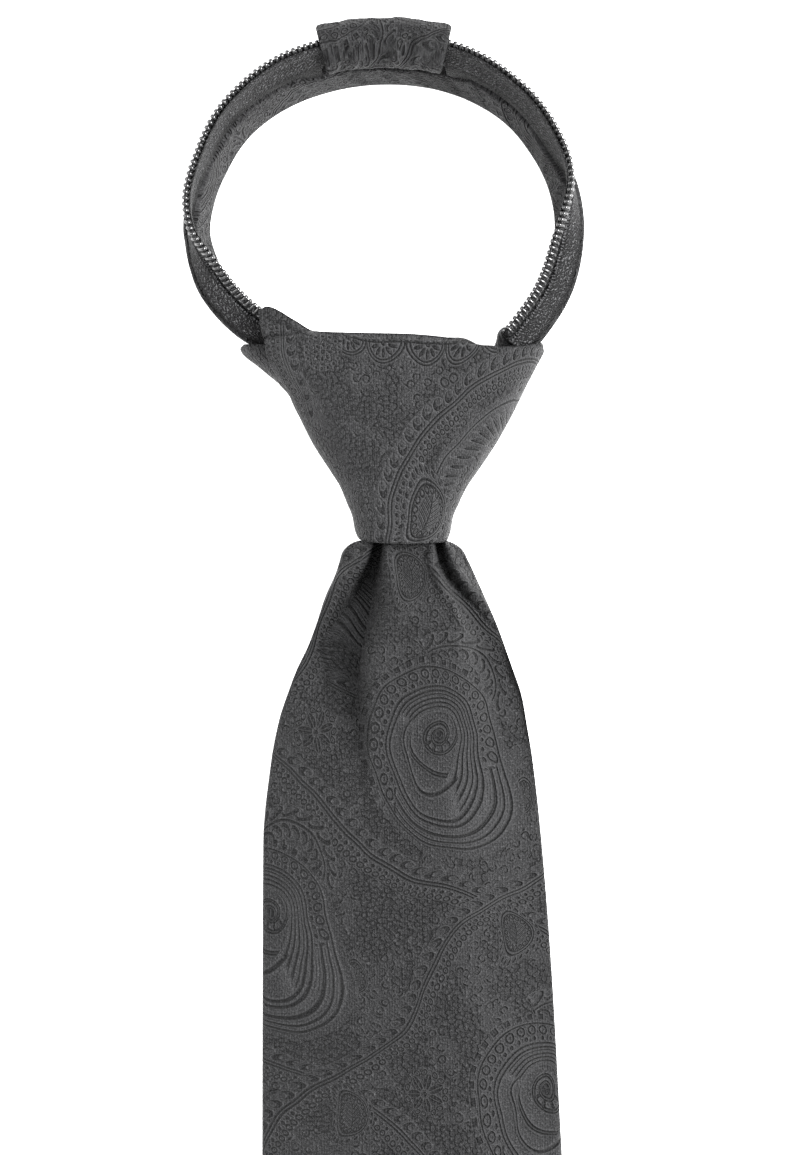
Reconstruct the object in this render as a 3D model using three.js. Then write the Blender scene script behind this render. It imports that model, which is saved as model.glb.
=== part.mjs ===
// A pre-tied necktie that closes with a coil zip, lying on its back on a flat surface.
//
// Millimetres, +Z up. The origin is on the flat back of the knot, at its middle. +Y points from the knot
// to the neck loop and -Y down the blade, +X is to the right of someone who looks down on its front.
// The neck loop is a folded cloth band that stands on its edge. Along the band's upper edge runs a zip
// tape with a row of coil, one for each side of the neck, and a cloth sleeve covers the place where
// the two rows meet behind the neck. Both rows run into the knot, where a hidden slider closes them, and
// come out below it as the tail, which lies under the blade.

import * as THREE from "three";

// Gap that is kept between two pieces that touch
const SEAT_GAP = 0.3;

// Knot
const KNOT_WIDTH = 60;
const KNOT_HEIGHT = 40.9;
const KNOT_DEPTH = 20;
const KNOT_WALL = 1.5;
const FRONT_LAYER = 1.2;
// How far the back of the knot is pressed flat by lying on it
const KNOT_PRESS = 0.6;
const KNOT_SQUARENESS = 3;

// Blade
const BLADE_LENGTH = 438;
const BLADE_WIDTH = 76;
const BLADE_THICKNESS = 3.6;
const BLADE_POINT_ANGLE = 90;
const BLADE_TUCK = 9.5;
const BLADE_POINT_WIDTH = 1.6;

// Neck loop, measured along the foot of the band
const LOOP_HALF_WIDTH = 35.1;
const LOOP_HALF_HEIGHT = 27.6;
const LOOP_OFFSET = -3.5;
const BAND_HEIGHT = 12;
const BAND_THICKNESS = 1.6;
const TAPE_WIDTH = 4.6;
const TAPE_THICKNESS = 0.7;
const COIL_WIDTH = 2.2;
const COIL_THICKNESS = 1.5;

// Cloth sleeve over the place where the two rows of coil meet
const SLEEVE_LENGTH = 25;
const SLEEVE_SHIFT = -3.2;
const SLEEVE_WALL = 1;
const SLEEVE_SLACK = 2.1;
const ROW_END_GAP = 1;

// Tail under the blade
const TAIL_LENGTH = 215;
const TAIL_WIDTH = 15;
const TAIL_THROAT_WIDTH = 7.8;
const TAIL_BAND_THICKNESS = 1.1;
const TAIL_TAPE_INSET = 1;

// Slider in the knot
const SLIDER_LENGTH = 9;
const SLIDER_WIDTH = 8;
const SLIDER_THICKNESS = 3.4;

// Right-hand tuck of cloth beside the loop's right entry
const TUCK_LENGTH = 9;
const TUCK_WIDTH = 2;
// How far the tuck's free end is bent to the right, along the band
const TUCK_BEND = 2.2;
const TUCK_DEPTH = 7.5;

const KNOT_TOP = KNOT_HEIGHT / 2;
const KNOT_FOOT = -KNOT_HEIGHT / 2;
const KNOT_HALF = KNOT_WIDTH / 2;
// The front layer lies a little loose on the layer under it
const FRONT_EASE = 0.25;
const FRONT_BUILD = SEAT_GAP + FRONT_EASE + FRONT_LAYER;

// The knot's outline. up is a share of its height. folded is the angle round the knot at which the front
// layer's left edge is folded, 180 being the knot's left side. left and right are its sides, as shares of
// half its width, and depth is a share of its depth.
const KNOT_SECTIONS = [
  { up: 0, folded: 186, left: -0.217, right: 0.313, depth: 0.75 },
  { up: 0.05, folded: 186, left: -0.24, right: 0.335, depth: 0.77 },
  { up: 0.12, folded: 186, left: -0.267, right: 0.353, depth: 0.78 },
  { up: 0.19, folded: 186, left: -0.307, right: 0.393, depth: 0.8 },
  { up: 0.27, folded: 186, left: -0.353, right: 0.447, depth: 0.82 },
  { up: 0.34, folded: 185, left: -0.413, right: 0.513, depth: 0.84 },
  { up: 0.48, folded: 184, left: -0.533, right: 0.64, depth: 0.9 },
  { up: 0.63, folded: 181, left: -0.625, right: 0.753, depth: 0.96 },
  { up: 0.7, folded: 173, left: -0.68, right: 0.8, depth: 0.98 },
  { up: 0.77, folded: 161, left: -0.805, right: 0.847, depth: 1 },
  { up: 0.845, folded: 146, left: -0.93, right: 0.9, depth: 1 },
  { up: 0.92, folded: 136, left: -1.05, right: 0.953, depth: 1 },
  { up: 1, folded: 132, left: -1.09, right: 0.985, depth: 0.98 },
];

// The upper rim of the knot's under layer, round it from its right side over the front. rise is from the
// knot's top line, as a share of its height.
const UNDER_RIM = [
  { around: 0, rise: -0.36 },
  { around: 40, rise: -0.2 },
  { around: 90, rise: -0.12 },
  { around: 135, rise: -0.05 },
  { around: 165, rise: -0.045 },
  { around: 190, rise: -0.1 },
  { around: 230, rise: -0.24 },
  { around: 300, rise: -0.26 },
  { around: 360, rise: -0.36 },
];

// The upper rim of the knot's front layer from its folded edge, with the flap that rises there, to the right
// side. The front dips in the middle, where the core shows over it.
const FRONT_RIM = [
  { across: 0, rise: 0.11, spread: -0.045 },
  { across: 0.025, rise: 0.134, spread: -0.035 },
  { across: 0.11, rise: 0.064, spread: 0 },
  { across: 0.17, rise: 0.012, spread: 0 },
  { across: 0.29, rise: 0.002, spread: 0 },
  { across: 0.39, rise: -0.02, spread: 0 },
  { across: 0.5, rise: -0.056, spread: 0 },
  { across: 0.63, rise: -0.058, spread: 0 },
  { across: 0.79, rise: -0.036, spread: 0 },
  { across: 0.87, rise: -0.066, spread: 0 },
  { across: 1, rise: -0.045, spread: 0 },
];

// The core of the knot. left and right are shares of the room between the under layer's walls, low and high of
// the room between its back and its front.
const CORE_SECTIONS = [
  { up: 0.3, left: 0, right: 1, low: 0.42, high: 1 },
  { up: 0.46, left: 0, right: 1, low: 0.34, high: 1 },
  { up: 0.56, left: 0, right: 1, low: 0.04, high: 1 },
  { up: 0.62, left: 0.03, right: 0.98, low: 0, high: 1 },
  { up: 0.68, left: 0.12, right: 0.9, low: 0, high: 1 },
  { up: 0.76, left: 0.23, right: 0.83, low: 0, high: 1 },
  { up: 0.9, left: 0.23, right: 0.84, low: 0.05, high: 0.98 },
  { up: 0.97, left: 0.24, right: 0.85, low: 0.1, high: 0.92 },
  { up: 1, left: 0.27, right: 0.84, low: 0.18, high: 0.82 },
];

// The blade from inside the knot to where its sides run straight. drop is the distance below the knot as a
// share of the blade's straight stretch, left and right are shares of half its full width. rise is the height of
// its back over the tail, edge that of its back at the edges, and thick its thickness, as shares of its own.
const BLADE_SECTIONS = [
  { drop: 0, left: -0.108, right: 0.14, rise: 1.64, edge: 1.64, thick: 1.7 },
  { drop: 0.0009, left: -0.112, right: 0.145, rise: 1.64, edge: 1.64, thick: 1.7 },
  { drop: 0.0026, left: -0.235, right: 0.262, rise: 1.64, edge: 1.62, thick: 1.85 },
  { drop: 0.0042, left: -0.267, right: 0.297, rise: 1.63, edge: 1.4, thick: 1.9 },
  { drop: 0.0095, left: -0.319, right: 0.356, rise: 1.61, edge: 1.2, thick: 1.9 },
  { drop: 0.0155, left: -0.348, right: 0.4, rise: 1.56, edge: 1, thick: 1.85 },
  { drop: 0.0275, left: -0.407, right: 0.46, rise: 1.46, edge: 0.7, thick: 1.75 },
  { drop: 0.04, left: -0.45, right: 0.518, rise: 1.3, edge: 0.45, thick: 1.62 },
  { drop: 0.0515, left: -0.495, right: 0.563, rise: 1.22, edge: 0.28, thick: 1.5 },
  { drop: 0.0635, left: -0.551, right: 0.603, rise: 1.18, edge: 0.15, thick: 1.4 },
  { drop: 0.0755, left: -0.592, right: 0.639, rise: 1.16, edge: 0.07, thick: 1.3 },
  { drop: 0.09, left: -0.638, right: 0.665, rise: 1.15, edge: 0.03, thick: 1.2 },
  { drop: 0.11, left: -0.678, right: 0.699, rise: 1.14, edge: 0, thick: 1.1 },
  { drop: 0.15, left: -0.719, right: 0.745, rise: 1.14, edge: 0, thick: 1.03 },
  { drop: 0.21, left: -0.722, right: 0.795, rise: 1.14, edge: 0, thick: 1 },
  { drop: 0.31, left: -0.724, right: 0.854, rise: 1.14, edge: 0, thick: 1 },
];

// The two folds that run down the blade from the knot. across is where a fold lies between the blade's edges,
// depth its depth as a share of the blade's thickness, and width its half width as a share of the blade's.
const BLADE_FOLDS = [
  [
    { drop: 0, across: 0.3, depth: 1.35, width: 0.052 },
    { drop: 0.0095, across: 0.27, depth: 1.4, width: 0.056 },
    { drop: 0.0275, across: 0.235, depth: 1.3, width: 0.07 },
    { drop: 0.0515, across: 0.23, depth: 0.9, width: 0.085 },
    { drop: 0.09, across: 0.26, depth: 0.42, width: 0.1 },
    { drop: 0.13, across: 0.29, depth: 0, width: 0.11 },
  ],
  [
    { drop: 0, across: 0.84, depth: 1.35, width: 0.05 },
    { drop: 0.0095, across: 0.84, depth: 1.4, width: 0.056 },
    { drop: 0.0275, across: 0.85, depth: 1.1, width: 0.07 },
    { drop: 0.0515, across: 0.84, depth: 0.6, width: 0.09 },
    { drop: 0.09, across: 0.84, depth: 0.25, width: 0.1 },
    { drop: 0.13, across: 0.84, depth: 0, width: 0.11 },
  ],
];

// Sections of the neck loop from its left entry over the top to its right entry. turn is the angle round the
// loop's centre and reach the share of its half width and half height. bandLean and tapeLean lean outwards
// from upright, and lift raises the band's foot over the back of the knot as a share of the knot's wall.
const LOOP_SECTIONS = [
  { turn: 234, reach: 1.02, bandLean: 24, tapeLean: -68, lift: 1.3 },
  { turn: 224, reach: 1.035, bandLean: 26, tapeLean: -71, lift: 1.25 },
  { turn: 209, reach: 1.032, bandLean: 26, tapeLean: -61, lift: 0.5 },
  { turn: 198, reach: 1.006, bandLean: 24, tapeLean: -37, lift: 0 },
  { turn: 188, reach: 1.008, bandLean: 20, tapeLean: -8, lift: 0 },
  { turn: 174, reach: 0.985, bandLean: 20, tapeLean: 13, lift: 0 },
  { turn: 158, reach: 0.968, bandLean: 21, tapeLean: 20, lift: 0 },
  { turn: 138, reach: 0.983, bandLean: 24, tapeLean: 28, lift: 0 },
  { turn: 116, reach: 0.986, bandLean: 25, tapeLean: 41, lift: 0 },
  { turn: 92, reach: 0.993, bandLean: 23, tapeLean: 43, lift: 0 },
  { turn: 68, reach: 1.008, bandLean: 22, tapeLean: 42, lift: 0 },
  { turn: 48, reach: 1.005, bandLean: 19, tapeLean: 33, lift: 0 },
  { turn: 27, reach: 0.985, bandLean: 17, tapeLean: 25, lift: 0 },
  { turn: 12, reach: 0.99, bandLean: 22, tapeLean: 0, lift: 0 },
  { turn: 0, reach: 1, bandLean: 23, tapeLean: -30, lift: 0 },
  { turn: -13, reach: 1.018, bandLean: 24, tapeLean: -57, lift: 0 },
  { turn: -29, reach: 1.06, bandLean: 25, tapeLean: -70, lift: 0.5 },
  { turn: -43, reach: 1.105, bandLean: 25, tapeLean: -70, lift: 1.25 },
  { turn: -52, reach: 1.155, bandLean: 24, tapeLean: -68, lift: 1.3 },
];

const degrees = THREE.MathUtils.degToRad;
const mix = THREE.MathUtils.lerp;
const clamp = THREE.MathUtils.clamp;

// A smooth curve through one named column of a table, as a function of the column it is read by. It
// doesn't overshoot the rows.
function column(rows, readBy, name) {
  const sorted = [...rows].sort((a, b) => a[readBy] - b[readBy]);
  const at = sorted.map((row) => row[readBy]);
  const value = sorted.map((row) => row[name]);
  const last = at.length - 1;
  const slope = at.slice(1).map((x, i) => (value[i + 1] - value[i]) / (x - at[i]));
  const tangent = value.map((_, i) => {
    if (i === 0) return slope[0];
    if (i === last) return slope[last - 1];
    if (slope[i - 1] * slope[i] <= 0) return 0;
    return (2 * slope[i - 1] * slope[i]) / (slope[i - 1] + slope[i]);
  });
  return (q) => {
    const x = clamp(q, at[0], at[last]);
    let i = 0;
    while (i < last - 1 && x > at[i + 1]) i += 1;
    const span = at[i + 1] - at[i];
    const t = (x - at[i]) / span;
    const rise = t * t * (3 - 2 * t);
    const start = t * (1 - t) * (1 - t) * tangent[i];
    const end = t * t * (t - 1) * tangent[i + 1];
    return mix(value[i], value[i + 1], rise) + span * (start + end);
  };
}

// All columns of a table at once: (q) => ({ name: value })
function table(rows, readBy) {
  const names = Object.keys(rows[0]).filter((name) => name !== readBy);
  const curves = names.map((name) => column(rows, readBy, name));
  return (q) => Object.fromEntries(names.map((name, i) => [name, curves[i](q)]));
}

const shares = (count) => Array.from({ length: count + 1 }, (_, i) => i / count);

// Shares from 0 to 1 that lie closer together at both ends
const easedShares = (count) => shares(count).map((t) => (1 - Math.cos(Math.PI * t)) / 2);

// A closed solid through rings of equal count. A ring's second half runs back beside its first, so its
// ends are closed by rungs. joined links the last ring to the first instead, as in a tube with a hollow.
function loft(rings, { joined = false } = {}) {
  const around = rings[0].length;
  const position = rings.flat().flatMap((p) => [p.x, p.y, p.z]);
  const index = [];
  const steps = joined ? rings.length : rings.length - 1;
  for (let r = 0; r < steps; r += 1) {
    const low = r * around;
    const high = ((r + 1) % rings.length) * around;
    for (let i = 0; i < around; i += 1) {
      const next = (i + 1) % around;
      index.push(low + i, low + next, high + next, low + i, high + next, high + i);
    }
  }
  if (!joined) {
    const top = (rings.length - 1) * around;
    for (let i = 0; i < around / 2 - 1; i += 1) {
      const j = around - 1 - i;
      index.push(i, j, i + 1);
      if (j - 1 > i + 1) index.push(i + 1, j, j - 1);
      index.push(top + i, top + i + 1, top + j);
      if (j - 1 > i + 1) index.push(top + i + 1, top + j - 1, top + j);
    }
  }
  let volume = 0;
  const corner = (k) => new THREE.Vector3().fromArray(position, 3 * index[k]);
  for (let k = 0; k < index.length; k += 3) {
    volume += corner(k).dot(corner(k + 1).cross(corner(k + 2)));
  }
  if (volume < 0) {
    for (let k = 0; k < index.length; k += 3) [index[k], index[k + 1]] = [index[k + 1], index[k]];
  }
  const geometry = new THREE.BufferGeometry();
  geometry.setAttribute("position", new THREE.Float32BufferAttribute(position, 3));
  geometry.setIndex(index);
  geometry.computeVertexNormals();
  return geometry;
}

// The outline of a flat strip with half-round edges, in its own plane: u along its width from 0, v through it
function stripOutline(width, thickness, steps = 3) {
  const r = thickness / 2;
  const end = (centre, from) =>
    shares(steps).map((t) => {
      const a = degrees(from + 180 * t);
      return { u: centre + r * Math.cos(a), v: r * Math.sin(a) };
    });
  return [...end(width - r, -90), ...end(r, 90)];
}

// Knot

const knotAt = table(KNOT_SECTIONS, "up");
const signedPower = (value, power) => Math.sign(value) * Math.abs(value) ** power;

// The sides of the under layer at a height share: it lies inside the front layer on the right
function underSides(up) {
  const section = knotAt(up);
  return {
    left: section.left * KNOT_HALF,
    right: section.right * KNOT_HALF - FRONT_BUILD,
    depth: section.depth * KNOT_DEPTH,
  };
}

// A point on the under layer's outer face, moved outwards by grow. around is in degrees: 0 is the right
// side, 90 the front and 270 the back, which lies flat.
function knotPoint(around, up, grow) {
  const side = underSides(up);
  const half = (side.right - side.left) / 2 + grow;
  const power = 2 / KNOT_SQUARENESS;
  const sine = signedPower(Math.sin(degrees(around)), power);
  const press = sine < 0 ? KNOT_PRESS : 0;
  return new THREE.Vector3(
    (side.left + side.right) / 2 + half * signedPower(Math.cos(degrees(around)), power),
    KNOT_FOOT + up * KNOT_HEIGHT,
    Math.max(-grow, side.depth / 2 + (side.depth / 2 + grow + press) * sine),
  );
}

const upOf = (y) => (y - KNOT_FOOT) / KNOT_HEIGHT;

function knotUnderLayer() {
  const rim = column(UNDER_RIM, "around", "rise");
  const angles = shares(44).slice(0, -1).map((t) => 360 * t);
  const ring = (share, grow) =>
    angles.map((around) => knotPoint(around, share * (1 + rim(around)), grow));
  const heights = shares(14);
  return loft(
    [
      ...heights.map((share) => ring(share, 0)),
      ...heights.reverse().map((share) => ring(share, -KNOT_WALL)),
    ],
    { joined: true },
  );
}

// The front layer covers the front of the under layer from its folded edge to the right side, which it
// wraps round.
const FRONT_WRAP_ANGLE = -14;
const FRONT_FLAP_LIFT = 0.6;

function knotFrontLayer() {
  const rim = table(FRONT_RIM, "across");
  const columns = shares(30);
  const rows = [...shares(6).map((t) => 0.56 * t), 0.62, 0.67, 0.72, 0.77, 0.82, 0.87, 0.92, 0.96, 1];
  const face = (row, grow) =>
    columns.map((across) => {
      const { rise, spread } = rim(across);
      const up = row * (1 + rise);
      const held = Math.min(up, 1);
      const point = knotPoint(mix(knotAt(held).folded, FRONT_WRAP_ANGLE, across), held, grow);
      const past = (up - held) * KNOT_HEIGHT;
      point.y += past;
      point.z += FRONT_FLAP_LIFT * past * 0.2;
      point.x += spread * KNOT_HALF * clamp((row - 0.82) / 0.18, 0, 1);
      return point;
    });
  return loft(
    rows.map((row) => [
      ...face(row, FRONT_BUILD),
      ...face(row, SEAT_GAP + FRONT_EASE).reverse(),
    ]),
  );
}

function knotCore() {
  const core = table(CORE_SECTIONS, "up");
  const angles = shares(26).slice(0, -1).map((t) => 360 * t);
  const rows = [0.3, 0.38, 0.46, 0.56, 0.62, 0.68, 0.76, 0.84, 0.9, 0.95, 0.98, 1];
  return loft(
    rows.map((up) => {
      const room = -KNOT_WALL - SEAT_GAP;
      const { left, right, low, high } = core(up);
      const [edgeRight, front, edgeLeft, back] = [0, 90, 180, 270].map((a) => knotPoint(a, up, room));
      const x0 = mix(edgeLeft.x, edgeRight.x, left);
      const x1 = mix(edgeLeft.x, edgeRight.x, right);
      const z0 = mix(back.z, front.z, low);
      const z1 = mix(back.z, front.z, high);
      return angles.map((around) => {
        const face = knotPoint(around, up, room);
        return new THREE.Vector3(clamp(face.x, x0, x1), face.y, clamp(face.z, z0, z1));
      });
    }),
  );
}

// Tail, which lies on the surface under the blade: a cloth band, the zip tape on it and the closed
// rows of coil. Its parts are stacked from the surface up.
const TAIL_STACK = {
  band: { low: 0, high: TAIL_BAND_THICKNESS },
  tape: { low: TAIL_BAND_THICKNESS + SEAT_GAP, high: TAIL_BAND_THICKNESS + SEAT_GAP + TAPE_THICKNESS },
};
TAIL_STACK.coil = {
  low: TAIL_STACK.tape.high + SEAT_GAP,
  high: TAIL_STACK.tape.high + SEAT_GAP + COIL_THICKNESS,
};

const bladeRun = BLADE_LENGTH - BLADE_WIDTH / 2 / Math.tan(degrees(BLADE_POINT_ANGLE / 2));
const bladeAt = table(BLADE_SECTIONS, "drop");
const bladeFolds = BLADE_FOLDS.map((rows) => table(rows, "drop"));
const BLADE_HALF = BLADE_WIDTH / 2;

// The middle line of blade and tail, which leans a little to the right
const LEAN = { start: 0.21, end: 0.31 };
const leanOf = (() => {
  const middle = (drop) => ((bladeAt(drop).left + bladeAt(drop).right) / 2) * BLADE_HALF;
  const slope = (middle(LEAN.end) - middle(LEAN.start)) / ((LEAN.end - LEAN.start) * bladeRun);
  return { slope, at: (y) => middle(LEAN.end) + slope * (KNOT_FOOT - y - LEAN.end * bladeRun) };
})();

// The tail's sections: below is the distance under the knot's foot, as a share of its length, wide the
// share of the way from the throat width to the full width, and lift the height over the surface as a share of the
// knot's wall and the gap over it.
const TAIL_SECTIONS = [
  { below: -0.035, wide: 0, lift: 1 },
  { below: 0.004, wide: 0, lift: 1 },
  { below: 0.03, wide: 0.45, lift: 0.75 },
  { below: 0.07, wide: 0.9, lift: 0.25 },
  { below: 0.11, wide: 1, lift: 0 },
  { below: 0.5, wide: 1, lift: 0 },
  { below: 0.94, wide: 1, lift: 0 },
  { below: 0.975, wide: 0.8, lift: 0 },
  { below: 1, wide: -1.3, lift: 0 },
];
const tailAt = table(TAIL_SECTIONS, "below");
const THROAT_CENTRE = ((KNOT_SECTIONS[0].left + KNOT_SECTIONS[0].right) / 2) * KNOT_HALF - FRONT_BUILD / 2;

function tailPiece(layer, inset, { from = TAIL_SECTIONS[0].below, to = 1, width = null } = {}) {
  const belows = [-0.035, 0.004, 0.015, 0.03, 0.05, 0.07, 0.11, 0.3, 0.5, 0.7, 0.94, 0.975, 1];
  const kept = [from, ...belows.filter((b) => b > from && b < to), to];
  return loft(
    kept.map((below) => {
      const { wide, lift } = tailAt(below);
      const half = (width ?? mix(TAIL_THROAT_WIDTH, TAIL_WIDTH, wide)) / 2 - inset;
      const y = KNOT_FOOT - below * TAIL_LENGTH;
      const share = clamp(below / 0.11, 0, 1);
      const x = mix(THROAT_CENTRE, leanOf.at(y), share);
      const z = lift * (KNOT_WALL + SEAT_GAP);
      const bevel = (layer.high - layer.low) * 0.35;
      const outline = [
        [-half, layer.low + bevel],
        [-half + bevel, layer.low],
        [half - bevel, layer.low],
        [half, layer.low + bevel],
        [half, layer.high - bevel],
        [half - bevel, layer.high],
        [-half + bevel, layer.high],
        [-half, layer.high - bevel],
      ];
      return outline.map(([dx, dz]) => new THREE.Vector3(x + dx, y, z + dz));
    }),
  );
}

// Slider: a plain block inside the knot, over the end of the tail
function slider() {
  const low = KNOT_WALL + SEAT_GAP;
  const start = KNOT_FOOT - TAIL_SECTIONS[0].below * TAIL_LENGTH + SEAT_GAP;
  const box = new THREE.BoxGeometry(SLIDER_WIDTH, SLIDER_LENGTH, SLIDER_THICKNESS);
  box.translate(THROAT_CENTRE, start + SLIDER_LENGTH / 2, low + SLIDER_THICKNESS / 2);
  return box;
}

// Blade

const TAIL_TOP = TAIL_STACK.coil.high;
const TAIL_END_SHARE = TAIL_LENGTH / bladeRun;

// Height of the blade's back over its middle, for a distance share below the knot: it follows the table to
// the tail's end and lies flat beyond it.
function bladeRise(drop) {
  const { rise } = bladeAt(drop);
  const over = TAIL_TOP + SEAT_GAP;
  const past = clamp((drop - TAIL_END_SHARE) / 0.09, 0, 1);
  return over * (rise / 1.14) * (1 - past * past * (3 - 2 * past));
}

// The blade's section at a distance share below the knot. back is the height of its back at a share across.
function bladeSection(drop) {
  const { left, right, edge, thick } = bladeAt(drop);
  const y = KNOT_FOOT - drop * bladeRun;
  const run = LEAN.end * bladeRun;
  const widen = Math.max(0, drop * bladeRun - run) / (bladeRun - run);
  const half = mix(((right - left) / 2) * BLADE_HALF, BLADE_HALF, widen);
  const centre = drop < LEAN.end ? ((right + left) / 2) * BLADE_HALF : leanOf.at(y);
  const rise = bladeRise(drop);
  const edgeHeight = Math.min(edge * BLADE_THICKNESS, rise);
  const flat = (TAIL_WIDTH / 2 + 1) / half;
  const back = (u) => {
    const t = clamp((Math.abs(u) - flat) / Math.max(1 - flat, 0.05), 0, 1);
    return mix(rise, edgeHeight, t * t * (3 - 2 * t));
  };
  return { y, half, centre, back, thickness: thick * BLADE_THICKNESS };
}

// One ring of the blade: its front from left to right, with columns on the folds, then its back
function bladeRing(drop, { shrink = 1, shift = 0 } = {}) {
  const section = bladeSection(Math.min(drop, 1));
  const folds = bladeFolds.map((fold) => fold(drop));
  const stops = [0, ...folds.map((fold) => fold.across), 1];
  const counts = [8, 10, 7];
  const across = stops.slice(1).flatMap((stop, i) =>
    easedShares(counts[i]).slice(i ? 1 : 0).map((t) => mix(stops[i], stop, t)),
  );
  const point = (share, level) => {
    const u = 2 * share - 1;
    const round = Math.sqrt(Math.max(0, 1 - u ** 8));
    const middle = section.thickness / 2;
    const dip = folds.reduce((sum, fold) => {
      const off = (share - fold.across) / fold.width;
      return sum + fold.depth * BLADE_THICKNESS * Math.exp(-off * off * 1.8);
    }, 0);
    const height = middle + level * middle * round - (level > 0 ? dip * round : 0);
    return new THREE.Vector3(
      section.centre + u * section.half * shrink,
      section.y - shift,
      section.back(u * shrink) + height,
    );
  };
  const front = across.map((share) => point(share, 1));
  const back = across.slice(1, -1).reverse().map((share) => point(share, -1));
  return [...front, ...back];
}

const BLADE_DROPS = [
  0, 0.0009, 0.0026, 0.0042, 0.0065, 0.0095, 0.0155, 0.0215, 0.0275, 0.034, 0.04, 0.0515, 0.0635, 0.0755, 0.09, 0.11,
  0.13, 0.17, 0.24, 0.34, 0.45, 0.54, 0.59, 0.64, 0.8, 1,
];

function blade() {
  const tucked = bladeRing(0);
  tucked.forEach((p) => {
    p.y += BLADE_TUCK;
  });
  const point = [0.35, 0.7, 1].map((share) => {
    const shrink = mix(1, BLADE_POINT_WIDTH / BLADE_WIDTH, share);
    return bladeRing(1, { shrink, shift: share * (BLADE_LENGTH - bladeRun) });
  });
  return loft([tucked, ...BLADE_DROPS.map((drop) => bladeRing(drop)), ...point]);
}

// Neck loop

const loopAt = (() => {
  const rows = LOOP_SECTIONS.map((row) => ({ ...row, turn: -row.turn }));
  const read = table(rows, "turn");
  return (turn) => read(-turn);
})();
const TURN_START = LOOP_SECTIONS[0].turn;
const TURN_END = LOOP_SECTIONS[LOOP_SECTIONS.length - 1].turn;
const LOOP_CENTRE = new THREE.Vector2(LOOP_OFFSET, KNOT_TOP + 0.865 * LOOP_HALF_HEIGHT);

function footOf(turn) {
  const { reach, lift } = loopAt(turn);
  return new THREE.Vector3(
    LOOP_CENTRE.x + reach * LOOP_HALF_WIDTH * Math.cos(degrees(turn)),
    LOOP_CENTRE.y + reach * LOOP_HALF_HEIGHT * Math.sin(degrees(turn)),
    lift * (KNOT_WALL + SEAT_GAP / 2),
  );
}

// The tape's lower edge sits on the band's rounded rim, a little to its inside.
const ROOT_LEAN = -15;
const ROOT_REACH = BAND_THICKNESS / 2 + SEAT_GAP + TAPE_THICKNESS / 2;

// The loop's frame at an angle: the band's foot, the tape's lower edge, and the directions up the band and
// up the tape, with the direction through each.
function loopFrame(turn) {
  const ahead = footOf(turn - 0.5);
  const along = ahead.clone().sub(footOf(turn + 0.5)).setZ(0).normalize();
  const out = new THREE.Vector3(-along.y, along.x, 0);
  const leaned = (angle) =>
    out.clone().multiplyScalar(Math.sin(degrees(angle))).add(new THREE.Vector3(0, 0, Math.cos(degrees(angle))));
  const { bandLean, tapeLean } = loopAt(turn);
  const bandUp = leaned(bandLean);
  const tapeUp = leaned(tapeLean);
  const foot = footOf(turn);
  const bandEnd = foot.clone().addScaledVector(bandUp, BAND_HEIGHT - BAND_THICKNESS);
  bandEnd.z += BAND_THICKNESS / 2;
  const root = bandEnd.clone().addScaledVector(leaned(ROOT_LEAN), ROOT_REACH);
  return {
    foot,
    root: root.addScaledVector(tapeUp, -TAPE_THICKNESS / 2),
    bandUp,
    tapeUp,
    bandThrough: leaned(bandLean + 90),
    tapeThrough: leaned(tapeLean + 90),
  };
}

// A strip that follows the loop between two angles. place gives, for a frame, the strip's start, the
// direction of its width and the direction through it.
function loopStrip(outline, place, from = TURN_START, to = TURN_END, count = 42) {
  return loft(
    shares(count).map((t) => {
      const { start, up, through } = place(loopFrame(mix(from, to, t)));
      return outline.map(({ u, v }) => start.clone().addScaledVector(up, u).addScaledVector(through, v));
    }),
  );
}

// The band's foot is a half round, so its centre is raised by what the round needs to touch the surface.
// Under the sleeve the band's rim is lower by the sleeve's hem.
function neckBand() {
  const raise = BAND_THICKNESS / 2;
  return loft(
    shares(48).map((t) => {
      const turn = mix(TURN_START, TURN_END, t);
      const frame = loopFrame(turn);
      const past = Math.abs(frame.root.x - SLEEVE_SHIFT) - SLEEVE_LENGTH / 2 - 2 * SLEEVE_WALL;
      const near = turn > 0 && turn < 180 ? 1 - clamp(past / (3 * SLEEVE_WALL), 0, 1) : 0;
      const height = BAND_HEIGHT - near * SLEEVE_HEM;
      const start = frame.foot.clone().addScaledVector(frame.bandUp, -raise);
      start.z += raise;
      return stripOutline(height, BAND_THICKNESS).map(({ u, v }) =>
        start.clone().addScaledVector(frame.bandUp, u).addScaledVector(frame.bandThrough, v),
      );
    }),
  );
}

const COIL_START = TAPE_WIDTH + SEAT_GAP;
// Room in the sleeve beside the tape's edge, and how much lower the band's rim is under the sleeve
const SLEEVE_ROOM = 0.6;
const SLEEVE_HEM = SLEEVE_ROOM + SLEEVE_WALL + TAPE_THICKNESS / 2;

const onTape = (offset) => (frame) => ({
  start: frame.root.clone().addScaledVector(frame.tapeUp, offset),
  up: frame.tapeUp,
  through: frame.tapeThrough,
});

// The angle at which the line between tape and coil crosses a given x, on the loop's upper side
function turnAtX(x) {
  let low = 0;
  let high = 180;
  for (let i = 0; i < 40; i += 1) {
    const middle = (low + high) / 2;
    const { root, tapeUp } = loopFrame(middle);
    if (root.x + tapeUp.x * COIL_START > x) low = middle;
    else high = middle;
  }
  return (low + high) / 2;
}

// Each row ends in the middle of the sleeve, and inside the knot it is as long as the band.
const ROW_ENDS = {
  left: { from: TURN_START, to: turnAtX(SLEEVE_SHIFT - ROW_END_GAP / 2) },
  right: { from: turnAtX(SLEEVE_SHIFT + ROW_END_GAP / 2), to: TURN_END },
};

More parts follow.
